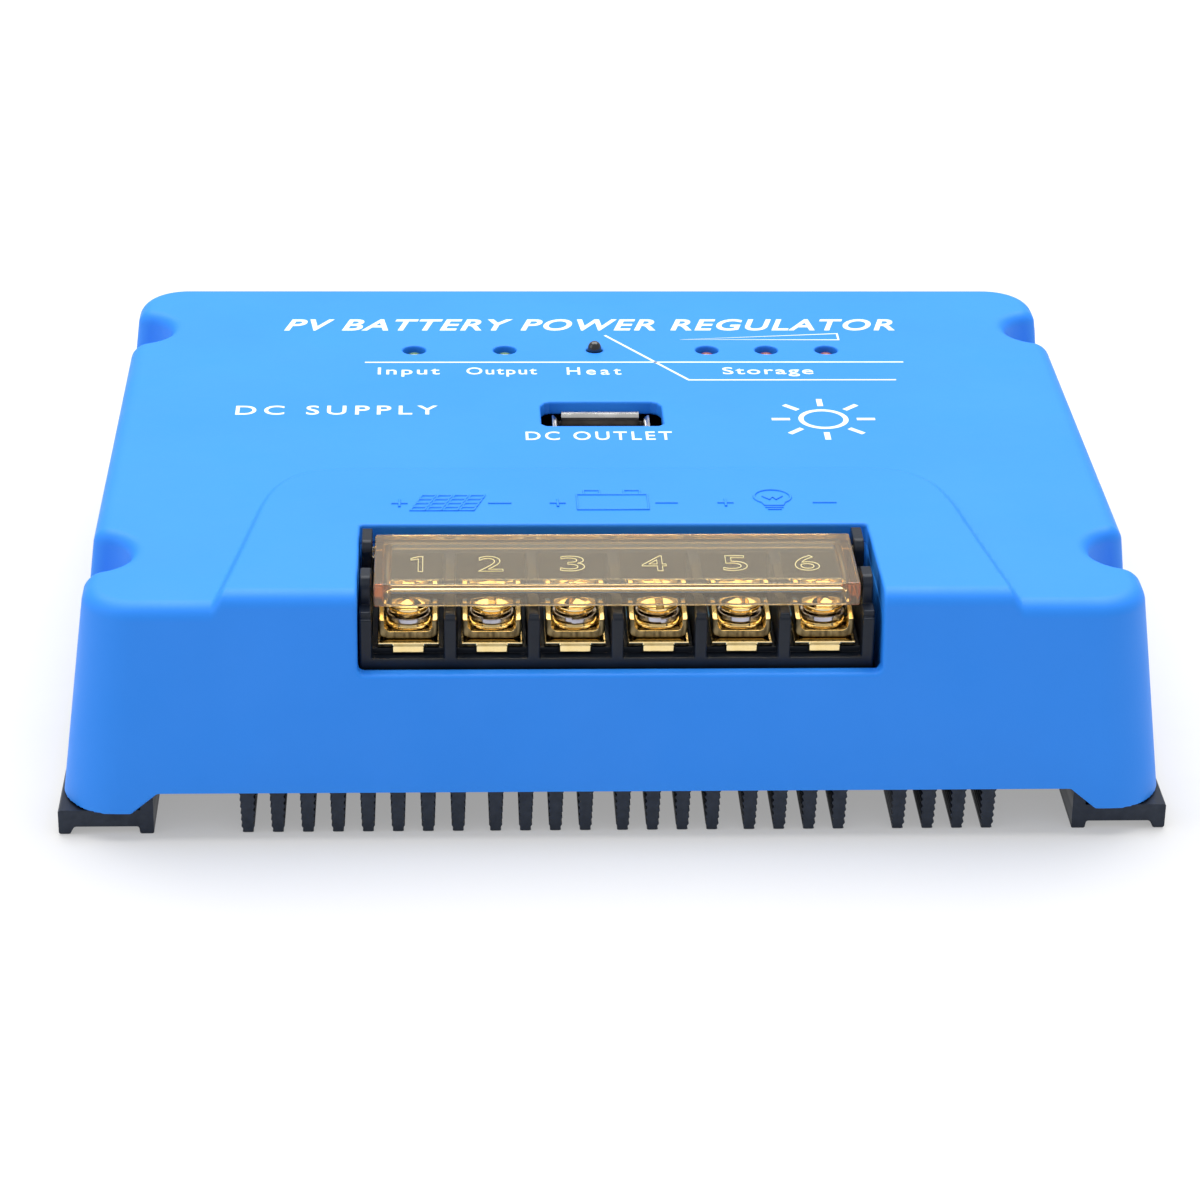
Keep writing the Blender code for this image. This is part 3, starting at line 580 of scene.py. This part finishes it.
for sx in (-1, 1):
    cutters = [rod(sx * 69.4, y, 2.3, 0.5, 5.0, 40) for y in SCALLOP_Y]
    for sy in (-1, 1):
        cutters += [rod(sx * 54.5, sy * 49.0, 1.7, 6.0, 11.0, 24), rod(sx * 54.5, sy * 25.0, 1.6, 7.8, 11.0, 24)]
    joined = bmesh.new()
    for c in cutters:
        part = bpy.data.meshes.new("part")
        c.to_mesh(part)
        c.free()
        joined.from_mesh(part)
        bpy.data.meshes.remove(part)
    tool = bpy.data.objects.new("tool", from_bmesh("tool", joined, 40))
    SCENE.collection.objects.link(tool)
    modifier = sink.modifiers.new("holes", "BOOLEAN")
    modifier.operation = "DIFFERENCE"
    modifier.solver = "EXACT"
    modifier.object = tool
    bpy.context.view_layer.update()
    made = bpy.data.meshes.new_from_object(sink.evaluated_get(bpy.context.evaluated_depsgraph_get()))
    sink.modifiers.clear()
    sink.data = made
    bpy.data.objects.remove(tool, do_unlink=True)
sink_mesh = sink.data
bpy.data.objects.remove(sink, do_unlink=True)
sink_mesh.shade_smooth()
sink_mesh.set_sharp_from_angle(angle=math.radians(40))
piece("sink_extrusion", sink_mesh, SINK_BLACK, "base", ["heat_sink"])


# ------------------------------------------------------------------ terminal block
def block_field(x, y, z):
    ax = np.abs(x)
    # the body up to its ledges, the end posts, then the six bays and the lower tops between the posts
    body = rbox(x, y, z, -33.9, 33.9, -56.8, -35.0, 17.4, 30.2, 0.25)
    walls = rbox(ax, y, z, 32.3, 33.9, -56.2, -37.4, 20.0, 31.0, 0.2)
    front = rbox(ax, y, z, 32.3, 33.9, -53.8, -49.0, 20.0, 34.7, 0.0)
    front = rmax(front, (z - 34.7 + (-52.6 - y) * 1.0) * 0.707, 0.3)
    front = rmax(rmax(front, z - 34.7, 0.35), (z - 34.7 + (y + 49.9) * 1.0) * 0.707, 0.3)
    back = rbox(ax, y, z, 32.3, 33.9, -42.5, -37.4, 20.0, 34.7, 0.0)
    back = rmax(rmax(back, z - 34.7, 0.35), (z - 34.7 + (-41.4 - y) * 1.0) * 0.707, 0.3)
    post = rmax(np.minimum(front, back), ax - 33.9, 0.3)
    post = rmax(post, 32.3 - ax, 0.25)
    solid = np.minimum(np.minimum(body, walls), post)
    room = rbox(x, y, z, -32.3, 32.3, -70.0, -37.4, 24.5, 50.0, 0.15)
    cx = x - np.clip(np.round((x - 5.5) / 11.0), -3, 2) * 11.0 - 5.5
    bay = rbox(cx, y, z, -4.7, 4.7, -70.0, -37.4, 24.5, 50.0, 0.25)
    edge = np.minimum(-rbox(x, y, z, -32.3, 32.3, -80.0, -10.0, 0.0, 60.0, 0.0), 0)
    end = rbox(ax, y, z, 26.0, 32.3, -70.0, -37.4, 24.5, 50.0, 0.25)
    bay = np.minimum(bay, end)
    solid = rmax(solid, -bay, 0.2)
    # barriers, lower at the back
    nx = x - np.clip(np.round(x / 11.0), -2, 2) * 11.0
    fence = rbox(nx, y, z, -0.8, 0.8, -56.8, -36.0, 22.0, 31.0, 0.0)
    fence = rmax(rmax(fence, z - 31.0, 0.3), np.abs(nx) - 0.8, 0.3)
    fence = rmax(fence, -56.8 - y, 0.45)
    fence = rmax(fence, -rbox(x, y, z, -90.0, 90.0, -42.3, 0.0, 29.6, 50.0, 0.0), 0.25)
    solid = rmin(solid, fence, 0.12)
    # pedestal under each contact strip
    ped = rbox(cx, y, z, -4.9, 4.9, -55.0, -42.4, 23.0, 25.3, 0.1)
    ped = np.maximum(ped, ax - 32.6)
    solid = np.minimum(solid, ped)
    ledge = rbox(x, y, z, -32.6, 32.6, -37.4, -35.0, 20.0, 30.2, 0.2)
    solid = np.minimum(solid, ledge)
    bore = np.maximum(cyl(cx, y, 0.0, AXIS_Y, 2.6), 19.0 - z)
    leg = rbox(cx, y, z, -1.3, 1.3, -44.0, -42.6, 10.0, 27.0, 0.0)
    solid = rmax(solid, -np.minimum(bore, leg), 0.1)
    pivot = np.maximum(np.sqrt((y - HINGE_Y) ** 2 + (z - HINGE_Z) ** 2) - 1.0, ax - 33.3)
    pivot = np.maximum(pivot, 31.9 - ax)
    return rmax(solid, -pivot, 0.12)


bands = []
for k in range(-3, 4):
    c = 11.0 * k
    if abs(k) < 3:
        bands.append((c - 1.3, c + 1.3, 0.22))
for s in (-1, 1):
    bands.append((min(s * 32.0, s * 34.2), max(s * 32.0, s * 34.2), 0.2))
for tx in TERMINAL_X:
    bands.append((tx - 2.8, tx + 2.8, 0.7))
xs = lines(-34.6, 34.6, 1.2, *bands)
ys = lines(
    -57.6, -34.2, 1.0, (-57.1, -54.8, 0.22), (-54.2, -52.0, 0.24), (-50.8, -48.6, 0.24), (-42.9, -39.7, 0.24), (-38.0, -36.9, 0.24),
    (-35.6, -34.6, 0.3), (-54.0, -47.0, 0.5), (-44.2, -42.2, 0.3),
)
zs = lines(16.8, 35.2, 1.2, (17.0, 17.9, 0.3), (24.1, 25.6, 0.22), (29.2, 31.4, 0.22), (31.4, 35.0, 0.24))
piece(
    "block_moulding", skin("block_moulding", block_field, xs, ys, zs), BLOCK_BLACK, "base", ["terminal_block"]
)


# ------------------------------------------------------------------ lid
LID_TOP = 34.52


def lid_field(x, y, z):
    ax = np.abs(x)
    tray = rbox(x, y, z, -32.0, 32.0, -55.0, -39.2, 31.2, LID_TOP, 0.3)
    inside = rbox(x, y, z, -30.8, 30.8, -53.9, -40.4, 20.0, 33.45, 1.4)
    tray = rmax(tray, -inside, 0.15)
    tray = rmax(tray, -rbox(x, y, z, -30.8, 30.8, -46.0, -30.0, 20.0, 32.0, 0.0), 0.15)
    pin = np.sqrt((y - HINGE_Y) ** 2 + (z - HINGE_Z) ** 2) - 0.75
    pin = rmax(pin, ax - 33.05, 0.12)
    pin = np.maximum(pin, 31.0 - ax)
    return rmin(tray, pin, 0.1)


xs = lines(-33.6, 33.6, 4.0, (-33.4, -30.3, 0.16), (30.3, 33.4, 0.16))
ys = lines(-55.6, -38.6, 2.0, (-55.2, -53.3, 0.14), (-42.0, -39.0, 0.16))
zs = lines(30.8, 35.0, 0.6, (31.0, 35.0, 0.14))
lid = piece("lid_amber_tray", skin("lid_amber_tray", lid_field, xs, ys, zs, 0.05), LID_AMBER, "lid", ["terminal_cover"])


# ------------------------------------------------------------------ clamp parts, built once about the screw's axis
def strip_field(x, y, z):
    plate = rbox(x, y, z, -4.05, 4.05, -5.1, 7.55, 25.5, 26.3, 0.0)
    plate = rmax(plate, z - 26.3, 0.18)
    plate = rmax(plate, (-5.1 - y + 0.5 * (26.2 - z)) * 0.9, 0.14)
    tab = rbox(x, y, z, -2.2, 2.2, -5.4, -4.6, 24.7, 26.3, 0.0)
    tab = rmax(rmax(tab, z - 26.3, 0.75), -5.4 - y, 0.75)
    tab = rmax(tab, np.abs(x) - 2.2, 0.12)
    leg = rbox(x, y, z, -1.0, 1.0, 6.85, 7.55, 14.2, 26.2, 0.1)
    solid = np.minimum(rmin(plate, tab, 0.2), leg)
    return rmax(solid, -cyl(x, y, 0, 0, 2.15), 0.08)


def clamp_field(x, y, z):
    ax = np.abs(x)
    hull = rmax(rect2(x, y, 3.95, 3.95, 0.4), 26.36 - z, 0.12)
    corner = np.sqrt(np.maximum(ax - 2.95, 0) ** 2 + np.maximum(27.5 - z, 0) ** 2) - 1.0
    hull = rmax(hull, np.where((ax > 2.95) & (z < 27.5), corner, -1.0), 0.14)
    hull = rmax(hull, z - (29.4 - 0.10 * y * y / 4.0), 0.2)
    hollow = rbox(ax, y, z, -8.0, 3.15, -9.0, 9.0, 27.35, 60.0, 0.85)
    solid = rmax(hull, -hollow, 0.14)
    ring = rmax(cyl(x, y, 0, 0, 2.95) + 0.35 * (z - 27.4), z - 27.78, 0.15)
    solid = rmin(solid, np.maximum(ring, 27.0 - z), 0.18)
    return rmax(solid, -cyl(x, y, 0, 0, 2.2), 0.15)


def split_field(x, y, z):
    r = np.sqrt(x * x + y * y)
    a = np.arctan2(x, -y) / (2 * np.pi)
    lift = 0.10 * a * 2
    ring = rmax(np.abs(r - 2.55) - 0.4, np.abs(z - 28.32 - lift) - 0.37, 0.12)
    gap = np.maximum(np.abs(x + 0.25 * (z - 28.32)) - 0.22, y)
    return rmax(ring, -gap, 0.05)


def screw_field(x, y, z):
    r = np.sqrt(x * x + y * y)
    z = z + 0.35
    head = rmax((r - 3.05 + 0.45 * np.maximum(30.35 - z, 0)) * 0.92, 29.3 - z, 0.12)
    head = rmax(head, np.sqrt(r * r + (z - 26.1) ** 2) - 5.22, 0.35)
    slot = np.maximum(np.abs(y) - 0.5, 30.25 - z)
    cross = np.maximum(rmax(np.abs(x) - 0.48, np.abs(y) - 2.0 + 0.6 * np.maximum(31.3 - z, 0), 0.1), 29.95 - z)
    head = rmax(head, -np.minimum(slot, cross), 0.1)
    turn = np.arctan2(y, x) / (2 * np.pi)
    thread = r - (1.80 + 0.12 * np.cos(2 * np.pi * (z / 0.7 - turn)))
    shank = rmax(thread, 20.4 - z, 0.3)
    shank = np.maximum(shank, z - 29.6)
    return np.minimum(head, shank)


g = lines(-4.4, 4.4, 0.5, (-4.2, -1.9, 0.13), (1.9, 4.2, 0.13))
strip_mesh = skin(
    "contact_strip", strip_field, lines(-4.4, 4.4, 0.6, (-4.3, -3.8, 0.12), (-2.5, -0.8, 0.14), (0.8, 2.5, 0.14), (3.8, 4.3, 0.12)),
    lines(-5.8, 7.9, 0.6, (-5.6, -4.4, 0.12), (-2.3, -1.8, 0.2), (1.8, 2.3, 0.2), (6.7, 7.7, 0.14)),
    lines(13.9, 26.6, 1.2, (14.0, 14.6, 0.2), (24.5, 26.5, 0.12)), 0.1,
)
clamp_mesh = skin("clamp_saddle", clamp_field, lines(-4.2, 4.2, 0.16), lines(-4.2, 4.2, 0.16), lines(26.1, 29.7, 0.13), 0.1)
split_mesh = skin("spring_ring", split_field, lines(-3.2, 3.2, 0.13), lines(-3.2, 3.2, 0.13), lines(27.7, 29.1, 0.1), 0.1)
screw_mesh = skin("terminal_screw", screw_field, lines(-3.25, 3.25, 0.125), lines(-3.25, 3.25, 0.125),
                  lines(19.7, 31.4, 0.14, (28.7, 31.2, 0.1)), 0.1)
# the sheared edges of the stamped parts, facing front and back, get a dark brass: partly rougher cut metal, mostly a
# painted dark reflection of the surroundings
for stamped, limit in ((strip_mesh, 26.12), (clamp_mesh, 30.0)):
    stamped.materials.append(BRASS)
    stamped.materials.append(SHEARED_EDGE_PAINTED_REFLECTION)
    for face in stamped.polygons:
        c = face.center / MM
        tab = stamped is strip_mesh and (abs(c.x) < 2.35 and c.z > 25.1 and c.y < 0)
        # faces turned to front or back below the limit take the painted dark reflection
        if abs(face.normal.y) > 0.7 and c.z < limit and abs(c.y) > 3.4 and not tab:
            face.material_index = 1
for i, x in enumerate(TERMINAL_X):
    n = i + 1
    at = (x, AXIS_Y, 0)
    piece(f"contact_strip_{n}", strip_mesh, BRASS, "base", [f"contact_plate_{n}"], at)
    piece(f"clamp_saddle_{n}", clamp_mesh, BRASS, f"clamp_{n}", [f"clamp_washer_{n}"], at)
    piece(f"spring_ring_{n}", split_mesh, RING_STEEL, f"clamp_{n}", [f"split_washer_{n}"], at, math.radians(140 + 16 * i))
    piece(f"combi_screw_{n}", screw_mesh, BRASS_SCREW, f"screw_{n}", [f"terminal_screw_{n}"], at, math.radians(TURN[i]))


# ------------------------------------------------------------------ USB socket
UX, UY = 0.25, 7.15


def usb_field(x, y, z):
    flare = 0.62 * np.clip((z - 30.3) / 1.0, 0, 1) ** 2
    d = rect2(x, y, 6.4 + 0 * z, 2.72 + 0 * z, 0.55)
    shell = np.abs(d - flare) - 0.17
    shell = np.maximum(shell, np.maximum(17.4 - z, z - 31.38))
    nick = np.maximum(np.maximum(5.75 - np.abs(x), 2.1 - np.abs(y)), 30.2 - z)
    return np.maximum(shell, -nick)


usb_mesh = skin(
    "socket_shell", usb_field, lines(-7.6, 7.6, 1.2, (-7.4, -5.4, 0.11), (5.4, 7.4, 0.11)), lines(-3.8, 3.8, 0.6, (-3.6, -1.9, 0.1), (1.9, 3.6, 0.1)),
    lines(17.1, 31.6, 1.4, (17.2, 17.7, 0.15), (29.9, 31.55, 0.1)), 0.1,
)
usb_mesh.materials.append(SOCKET_STEEL)
usb_mesh.materials.append(SOCKET_PAINTED_SHADE)
# inward-facing walls inside the socket, below its rim, take the darker tin as painted shade
for face in usb_mesh.polygons:
    c = face.center / MM
    reach = max(abs(c.x) - 6.4, abs(c.y) - 2.72)
    if reach < -0.05 and c.z < 31.25 and face.normal.x * c.x / 40 + face.normal.y * c.y < 0:
        face.material_index = 1
piece("socket_shell", usb_mesh, None, "base", ["usb_shell"], (UX, UY, 0))


# ------------------------------------------------------------------ lamps and sensor
def dome(r, z0, z1, top, n=9):
    """Profile of a lamp: base flange, straight body, then a dome."""
    out = [(r + 0.22, z0), (r + 0.22, z0 + 0.9), (r + 0.1, z0 + 1.0), (r, z0 + 1.05), (r, z1)]
    for k in range(1, n + 1):
        a = math.radians(88 * k / n)
        out.append((r * math.cos(a), z1 + (top - z1) * math.sin(a)))
    return out


lamp_mesh = {}
for name, look, slot in (("green", LAMP_GREEN, "lamp_green"), ("red", LAMP_RED, "lamp_red")):
    lamp_mesh[name] = (from_bmesh("lamp_" + name, turned(dome(1.5, 25.4, 31.1, 32.4)), 50), look, slot)
for node, x, colour in zip(
    ("led_solar", "led_load", "led_battery_1", "led_battery_2", "led_battery_3"), LAMP_X, ("green", "green", "red", "red", "red")
):
    mesh, look, slot = lamp_mesh[colour]
    piece(node.replace("led", "lens"), mesh, look, "base", [node], (x, LAMP_Y, 0))
bead = turned(
    [(0.45, 27.5), (0.8, 28.4), (0.98, 29.6), (1.04, 31.2), (1.07, 32.3), (1.1, 32.9), (1.08, 33.2), (1.0, 33.52),
     (0.88, 33.8), (0.7, 34.03), (0.48, 34.19), (0.24, 34.28), (0.06, 34.3)], 36,
)
piece("sensor_bead", from_bmesh("sensor_bead", bead, 60), BEAD_BLACK, "base", ["temp_sensor"], (TEMP_X, LAMP_Y, 0))


# ------------------------------------------------------------------ printing, relief lines and digits
def words_mesh(words, box, top, thick=0.03, bold=0.0, spacing=1.0, shear=0.0, wire=False):
    """Lettering from the built-in font, fitted to a box (x0, x1, y0, y1), as a mesh in millimetres."""
    curve = bpy.data.curves.new("words", "FONT")
    curve.body = words
    curve.size = 10.0
    curve.offset = bold
    curve.space_character = spacing
    curve.shear = shear
    curve.resolution_u = 5
    if wire:
        curve.fill_mode = "NONE"
    else:
        curve.extrude = 0.5
    holder = bpy.data.objects.new("words", curve)
    SCENE.collection.objects.link(holder)
    bpy.context.view_layer.update()
    mesh = bpy.data.meshes.new_from_object(holder.evaluated_get(bpy.context.evaluated_depsgraph_get()))
    bpy.data.objects.remove(holder, do_unlink=True)
    bpy.data.curves.remove(curve)
    co = np.zeros(len(mesh.vertices) * 3)
    mesh.vertices.foreach_get("co", co)
    co = co.reshape(-1, 3)
    low, high = co.min(0), co.max(0)
    x0, x1, y0, y1 = box
    co[:, 0] = x0 + (co[:, 0] - low[0]) / (high[0] - low[0]) * (x1 - x0)
    co[:, 1] = y0 + (co[:, 1] - low[1]) / (high[1] - low[1]) * (y1 - y0)
    co[:, 2] = top + (thick * (co[:, 2] + 0.5) if not wire else 0)
    mesh.vertices.foreach_set("co", co.ravel())
    return mesh


def fill(name, mesh, look, body):
    mesh.name = name
    mesh.transform(Matrix.Scale(MM, 4))
    mesh.update()
    mesh.materials.clear()
    bm = bmesh.new()
    bm.from_mesh(mesh)
    bmesh.ops.remove_doubles(bm, verts=bm.verts, dist=1e-8)
    bmesh.ops.recalc_face_normals(bm, faces=bm.faces)
    bm.to_mesh(mesh)
    bm.free()
    mesh.shade_smooth()
    mesh.set_sharp_from_angle(angle=math.radians(30))
    return piece(name, mesh, look, body, ())


TOP = COVER_TOP + 0.002
fill("print_title", words_mesh("PV BATTERY POWER REGULATOR", (-47.4, 47.2, 39.2, 44.0), TOP, bold=0.22, spacing=1.12, shear=0.28), PRINT_WHITE, "base")
for name, words, box, bold, spacing in (
    ("print_caption_input", "Input", (-32.7, -23.4, 20.5, 24.1), 0.12, 1.2),
    ("print_caption_output", "Output", (-19.4, -8.8, 20.5, 24.1), 0.12, 1.15),
    ("print_caption_heat", "Heat", (-4.3, 3.9, 21.2, 24.1), 0.09, 1.35),
    ("print_caption_storage", "Storage", (19.2, 32.9, 20.5, 24.1), 0.12, 1.15),
    ("print_rating", "DC SUPPLY", (-53.2, -23.7, 5.9, 9.3), 0.12, 1.35),
    ("print_socket", "DC OUTLET", (-11.0, 10.2, -3.6, -0.5), 0.1, 1.25),
):
    fill(name, words_mesh(words, box, TOP, bold=bold, spacing=spacing), PRINT_WHITE, "base")


def ribbon(bm, points, width, low, high, closed=False):
    """A flat printed line of even width along points, as a closed strip."""
    n = len(points)
    left, right = [], []
    for i, (x, y) in enumerate(points):
        a = points[i - 1] if i or closed else points[i]
        b = points[(i + 1) % n] if i < n - 1 or closed else points[i]
        d1 = (x - a[0], y - a[1])
        d2 = (b[0] - x, b[1] - y)
        l1, l2 = math.hypot(*d1) or 1.0, math.hypot(*d2) or 1.0
        t = (d1[0] / l1 + d2[0] / l2, d1[1] / l1 + d2[1] / l2)
        l = math.hypot(*t) or 1.0
        nx, ny = -t[1] / l, t[0] / l
        ref = d2 if l2 > 0 and (d2[0] or d2[1]) else d1
        rl = math.hypot(*ref) or 1.0
        cos = abs(nx * -ref[1] / rl + ny * ref[0] / rl)
        w = width / 2 / max(cos, 0.35)
        left.append((x + nx * w, y + ny * w))
        right.append((x - nx * w, y - ny * w))
    rows = []
    for (lx, ly), (rx, ry) in zip(left, right):
        rows.append([bm.verts.new(p) for p in ((lx, ly, low), (rx, ry, low), (rx, ry, high), (lx, ly, high))])
    pairs = list(zip(rows, rows[1:])) + ([(rows[-1], rows[0])] if closed else [])
    for a, b in pairs:
        for k in range(4):
            m = (k + 1) % 4
            bm.faces.new((a[k], a[m], b[m], b[k]))
    if not closed:
        bm.faces.new(rows[0][::-1])
        bm.faces.new(rows[-1])


def arc(cx, cy, r, a0, a1, n=24, flat=1.0):
    return [
        (cx + r * math.cos(math.radians(a0 + (a1 - a0) * k / n)), cy + flat * r * math.sin(math.radians(a0 + (a1 - a0) * k / n)))
        for k in range(n + 1)
    ]


bm = bmesh.new()
H = TOP + 0.03
ribbon(bm, [(-34.7, 26.2), (47.0, 26.2)], 0.42, TOP, H)
ribbon(bm, [(2.0, 37.2), (13.9, 19.1), (45.1, 19.1)], 0.42, TOP, H)
ribbon(bm, [(13.9, 35.45), (38.0, 37.9), (38.0, 35.3)], 0.3, TOP, H, closed=True)
piece("print_rules", from_bmesh("print_rules", bm, 30), PRINT_WHITE, "base")

bm = bmesh.new()
ribbon(bm, arc(32.7, 4.0, 3.3, 0, 360 - 10, 35), 0.75, TOP, H, closed=True)
for k in range(8):
    a = math.radians(45 * k)
    c, s = math.cos(a), math.sin(a)
    ribbon(bm, [(32.7 + 4.9 * c, 4.0 + 4.9 * s), (32.7 + 7.6 * c, 4.0 + 7.6 * s)], 0.85, TOP, H)
piece("print_sun_icon", from_bmesh("print_sun_icon", bm, 30), PRINT_WHITE, "base")


def tubes(name, runs, radius, height, look, body, sides=2):
    """Round relief lines along runs of (x, y) points; each run is (points, closed). height gives z at a point."""
    curve = bpy.data.curves.new(name, "CURVE")
    curve.dimensions = "3D"
    curve.bevel_depth = radius * MM
    curve.bevel_resolution = sides
    curve.use_fill_caps = True
    for points, closed in runs:
        spline = curve.splines.new("POLY")
        spline.points.add(len(points) - 1)
        for k, (x, y) in enumerate(points):
            spline.points[k].co = (x * MM, y * MM, height(x, y) * MM, 1)
        spline.use_cyclic_u = closed
    holder = bpy.data.objects.new("runs", curve)
    SCENE.collection.objects.link(holder)
    bpy.context.view_layer.update()
    mesh = bpy.data.meshes.new_from_object(holder.evaluated_get(bpy.context.evaluated_depsgraph_get()))
    bpy.data.objects.remove(holder, do_unlink=True)
    bpy.data.curves.remove(curve)
    mesh.materials.clear()
    mesh.name = name
    mesh.shade_smooth()
    return piece(name, mesh, look, body, ())


def pad_z(x, y):
    return COVER_TOP + float(pad_rise(y)) + 0.03


def plus(cx, cy, r):
    return [([(cx - r, cy), (cx + r, cy)], False), ([(cx, cy - r * 1.15), (cx, cy + r * 1.15)], False)]


def minus(x0, x1, cy):
    return [([(x0, cy), (x1, cy)], False)]


relief = []
relief += plus(-28.9, -27.3, 1.1) + minus(-16.7, -13.5, -27.3) + plus(-7.1, -27.3, 1.1) + minus(6.4, 9.5, -27.3)
relief += plus(16.1, -27.3, 1.1) + minus(28.2, 31.5, -27.3)
# solar panel: four slanted rows of cells
for row in range(4):
    y0 = -29.9 + 1.42 * row
    for col in range(4):
        x0 = -27.4 + 2.25 * col + 0.42 * row
        relief.append(([(x0, y0), (x0 + 1.95, y0), (x0 + 2.27, y0 + 1.12), (x0 + 0.32, y0 + 1.12)], True))
# battery with two terminals
relief.append(([(-4.4, -29.7), (5.4, -29.7), (5.4, -24.3), (-4.4, -24.3)], True))
for x0 in (-3.4, 2.2):
    relief.append(([(x0, -24.3), (x0, -22.8), (x0 + 2.2, -22.8), (x0 + 2.2, -24.3)], False))
# bulb with a filament and a base
relief.append((arc(22.75, -25.2, 2.55, -52, 232, 26), False))
relief.append(([(21.2, -27.2), (21.5, -28.3), (24.0, -28.3), (24.3, -27.2)], False))
relief.append(([(21.5, -29.0), (24.0, -29.0)], False))
relief.append(([(21.8, -29.7), (23.7, -29.7)], False))
relief.append(([(21.4, -25.0), (22.3, -26.2), (22.75, -25.2), (23.2, -26.2), (24.1, -25.0)], False))
tubes("relief_symbols", relief, 0.19, pad_z, COVER_BLUE, "base")


def loops_of(mesh):
    """Closed runs of points along a wire mesh's edges."""
    near = {}
    for e in mesh.edges:
        a, b = e.vertices
        near.setdefault(a, []).append(b)
        near.setdefault(b, []).append(a)
    seen, out = set(), []
    for start in sorted(near):
        if start in seen:
            continue
        run, here, before = [start], start, None
        seen.add(start)
        while True:
            onward = [v for v in near[here] if v != before and v not in seen]
            if not onward:
                break
            before, here = here, onward[0]
            seen.add(here)
            run.append(here)
        out.append([tuple(mesh.vertices[v].co[:2]) for v in run])
    return out


digit_runs = []
for digit, cx in zip("123456", (-26.2, -16.6, -5.8, 5.05, 15.8, 25.4)):
    if digit == "1":
        flag = [(0.62, 2.3), (0.62, -2.3), (0.02, -2.3), (0.02, 1.55), (-0.95, 1.25), (-0.95, 1.75), (0.1, 2.3)]
        digit_runs.append(([(cx + px, -48.8 + py) for px, py in flag], True))
        continue
    half = 1.6
    wire = words_mesh(digit, (cx - half, cx + half, -51.1, -46.5), 0.0, wire=True)
    digit_runs += [(run, True) for run in loops_of(wire) if len(run) > 2]
    bpy.data.meshes.remove(wire)
tubes("lid_digits", digit_runs, 0.075, lambda x, y: LID_TOP + 0.02, DIGIT_AMBER, "lid", 1)


# ------------------------------------------------------------------ finishes of the CAD nodes that stay
for node, look in (
    ("main_pcb", BOARD_GREEN), ("usb_tongue", SOCKET_WHITE), ("inductor_core", CORE_YELLOW), ("inductor_winding", COPPER),
    ("capacitor_1", PART_BLACK), ("capacitor_2", PART_BLACK), ("fuse", FUSE_GLASS), ("control_chip", PART_BLACK),
    ("thermal_pad", PAD_GREY), ("mosfet_1", PART_BLACK), ("mosfet_2", PART_BLACK), ("mosfet_3", PART_BLACK),
    *[(f"cover_screw_{k}", STEEL) for k in range(1, 5)],
    *[(f"pcb_screw_{k}", STEEL) for k in range(1, 5)],
    *[(f"pcb_standoff_{k}", STEEL) for k in range(1, 5)],
):
    dress(NODES[node], look)


# ------------------------------------------------------------------ floor, light and camera
bm = bmesh.new()
ground = [bm.verts.new(p) for p in ((-6000, -6000, -0.02), (6000, -6000, -0.02), (6000, 6000, -0.02), (-6000, 6000, -0.02))]
bm.faces.new(ground)
floor_mesh = from_bmesh("floor", bm)
floor = bpy.data.objects.new("floor", floor_mesh)
SCENE.collection.objects.link(floor)
FLOOR_LOOK = surface(
    "floor_pale", (0.50, 0.50, 0.50), (0.52, 0.52, 0.52), (0.7, 0.8), blotch=3.0, grain=60.0, depth=0.0002, strength=0.05,
    Emission_Color=(1.0, 1.0, 1.0, 1.0), Emission_Strength=0.34,
)
floor_mesh.materials.append(FLOOR_LOOK)

world = bpy.data.worlds.new("studio")
SCENE.world = world
world.use_nodes = True
world.node_tree.nodes["Background"].inputs["Color"].default_value = (1.0, 1.0, 1.0, 1.0)
world.node_tree.nodes["Background"].inputs["Strength"].default_value = 0.5


def lamp(name, location, target, size, energy):
    data = bpy.data.lights.new(name, "AREA")
    data.shape = "RECTANGLE"
    data.size, data.size_y = size
    data.energy = energy
    obj = bpy.data.objects.new(name, data)
    SCENE.collection.objects.link(obj)
    obj.location = location
    d = [t - l for t, l in zip(target, location)]
    obj.rotation_euler = Vector(d).to_track_quat("-Z", "Y").to_euler()
    return obj


lamp("top_softbox", (0.0, 0.4, 1.1), (0, 0.05, 0), (1.6, 1.2), 21.5)
lamp("left_softbox", (-1.1, -0.3, 0.6), (0, 0, 0), (0.8, 0.8), 2.0)

pitch, yaw, roll = math.radians(25.79), math.radians(2.66), math.radians(0.96)
M = np.array([[1, 0, 0], [0, -math.sin(pitch), -math.cos(pitch)], [0, math.cos(pitch), -math.sin(pitch)]])
Rz = np.array([[math.cos(yaw), -math.sin(yaw), 0], [math.sin(yaw), math.cos(yaw), 0], [0, 0, 1]])
Rr = np.array([[math.cos(roll), -math.sin(roll), 0], [math.sin(roll), math.cos(roll), 0], [0, 0, 1]])
R = Rr @ M @ Rz
camera_data = bpy.data.cameras.new("camera")
camera_data.sensor_width = 36.0
camera_data.lens = 3605.0 / 1200.0 * 36.0
camera_data.clip_start = 0.01
camera_data.clip_end = 20.0
camera = bpy.data.objects.new("camera", camera_data)
SCENE.collection.objects.link(camera)
where = (-0.0221, -0.4807, 0.2381)
right, up, back = R[0], -R[1], -R[2]
camera.matrix_world = Matrix(
    [
        [right[0], up[0], back[0], where[0]],
        [right[1], up[1], back[1], where[1]],
        [right[2], up[2], back[2], where[2]],
        [0, 0, 0, 1],
    ]
)
SCENE.camera = camera
SCENE.view_settings.view_transform = "Standard"
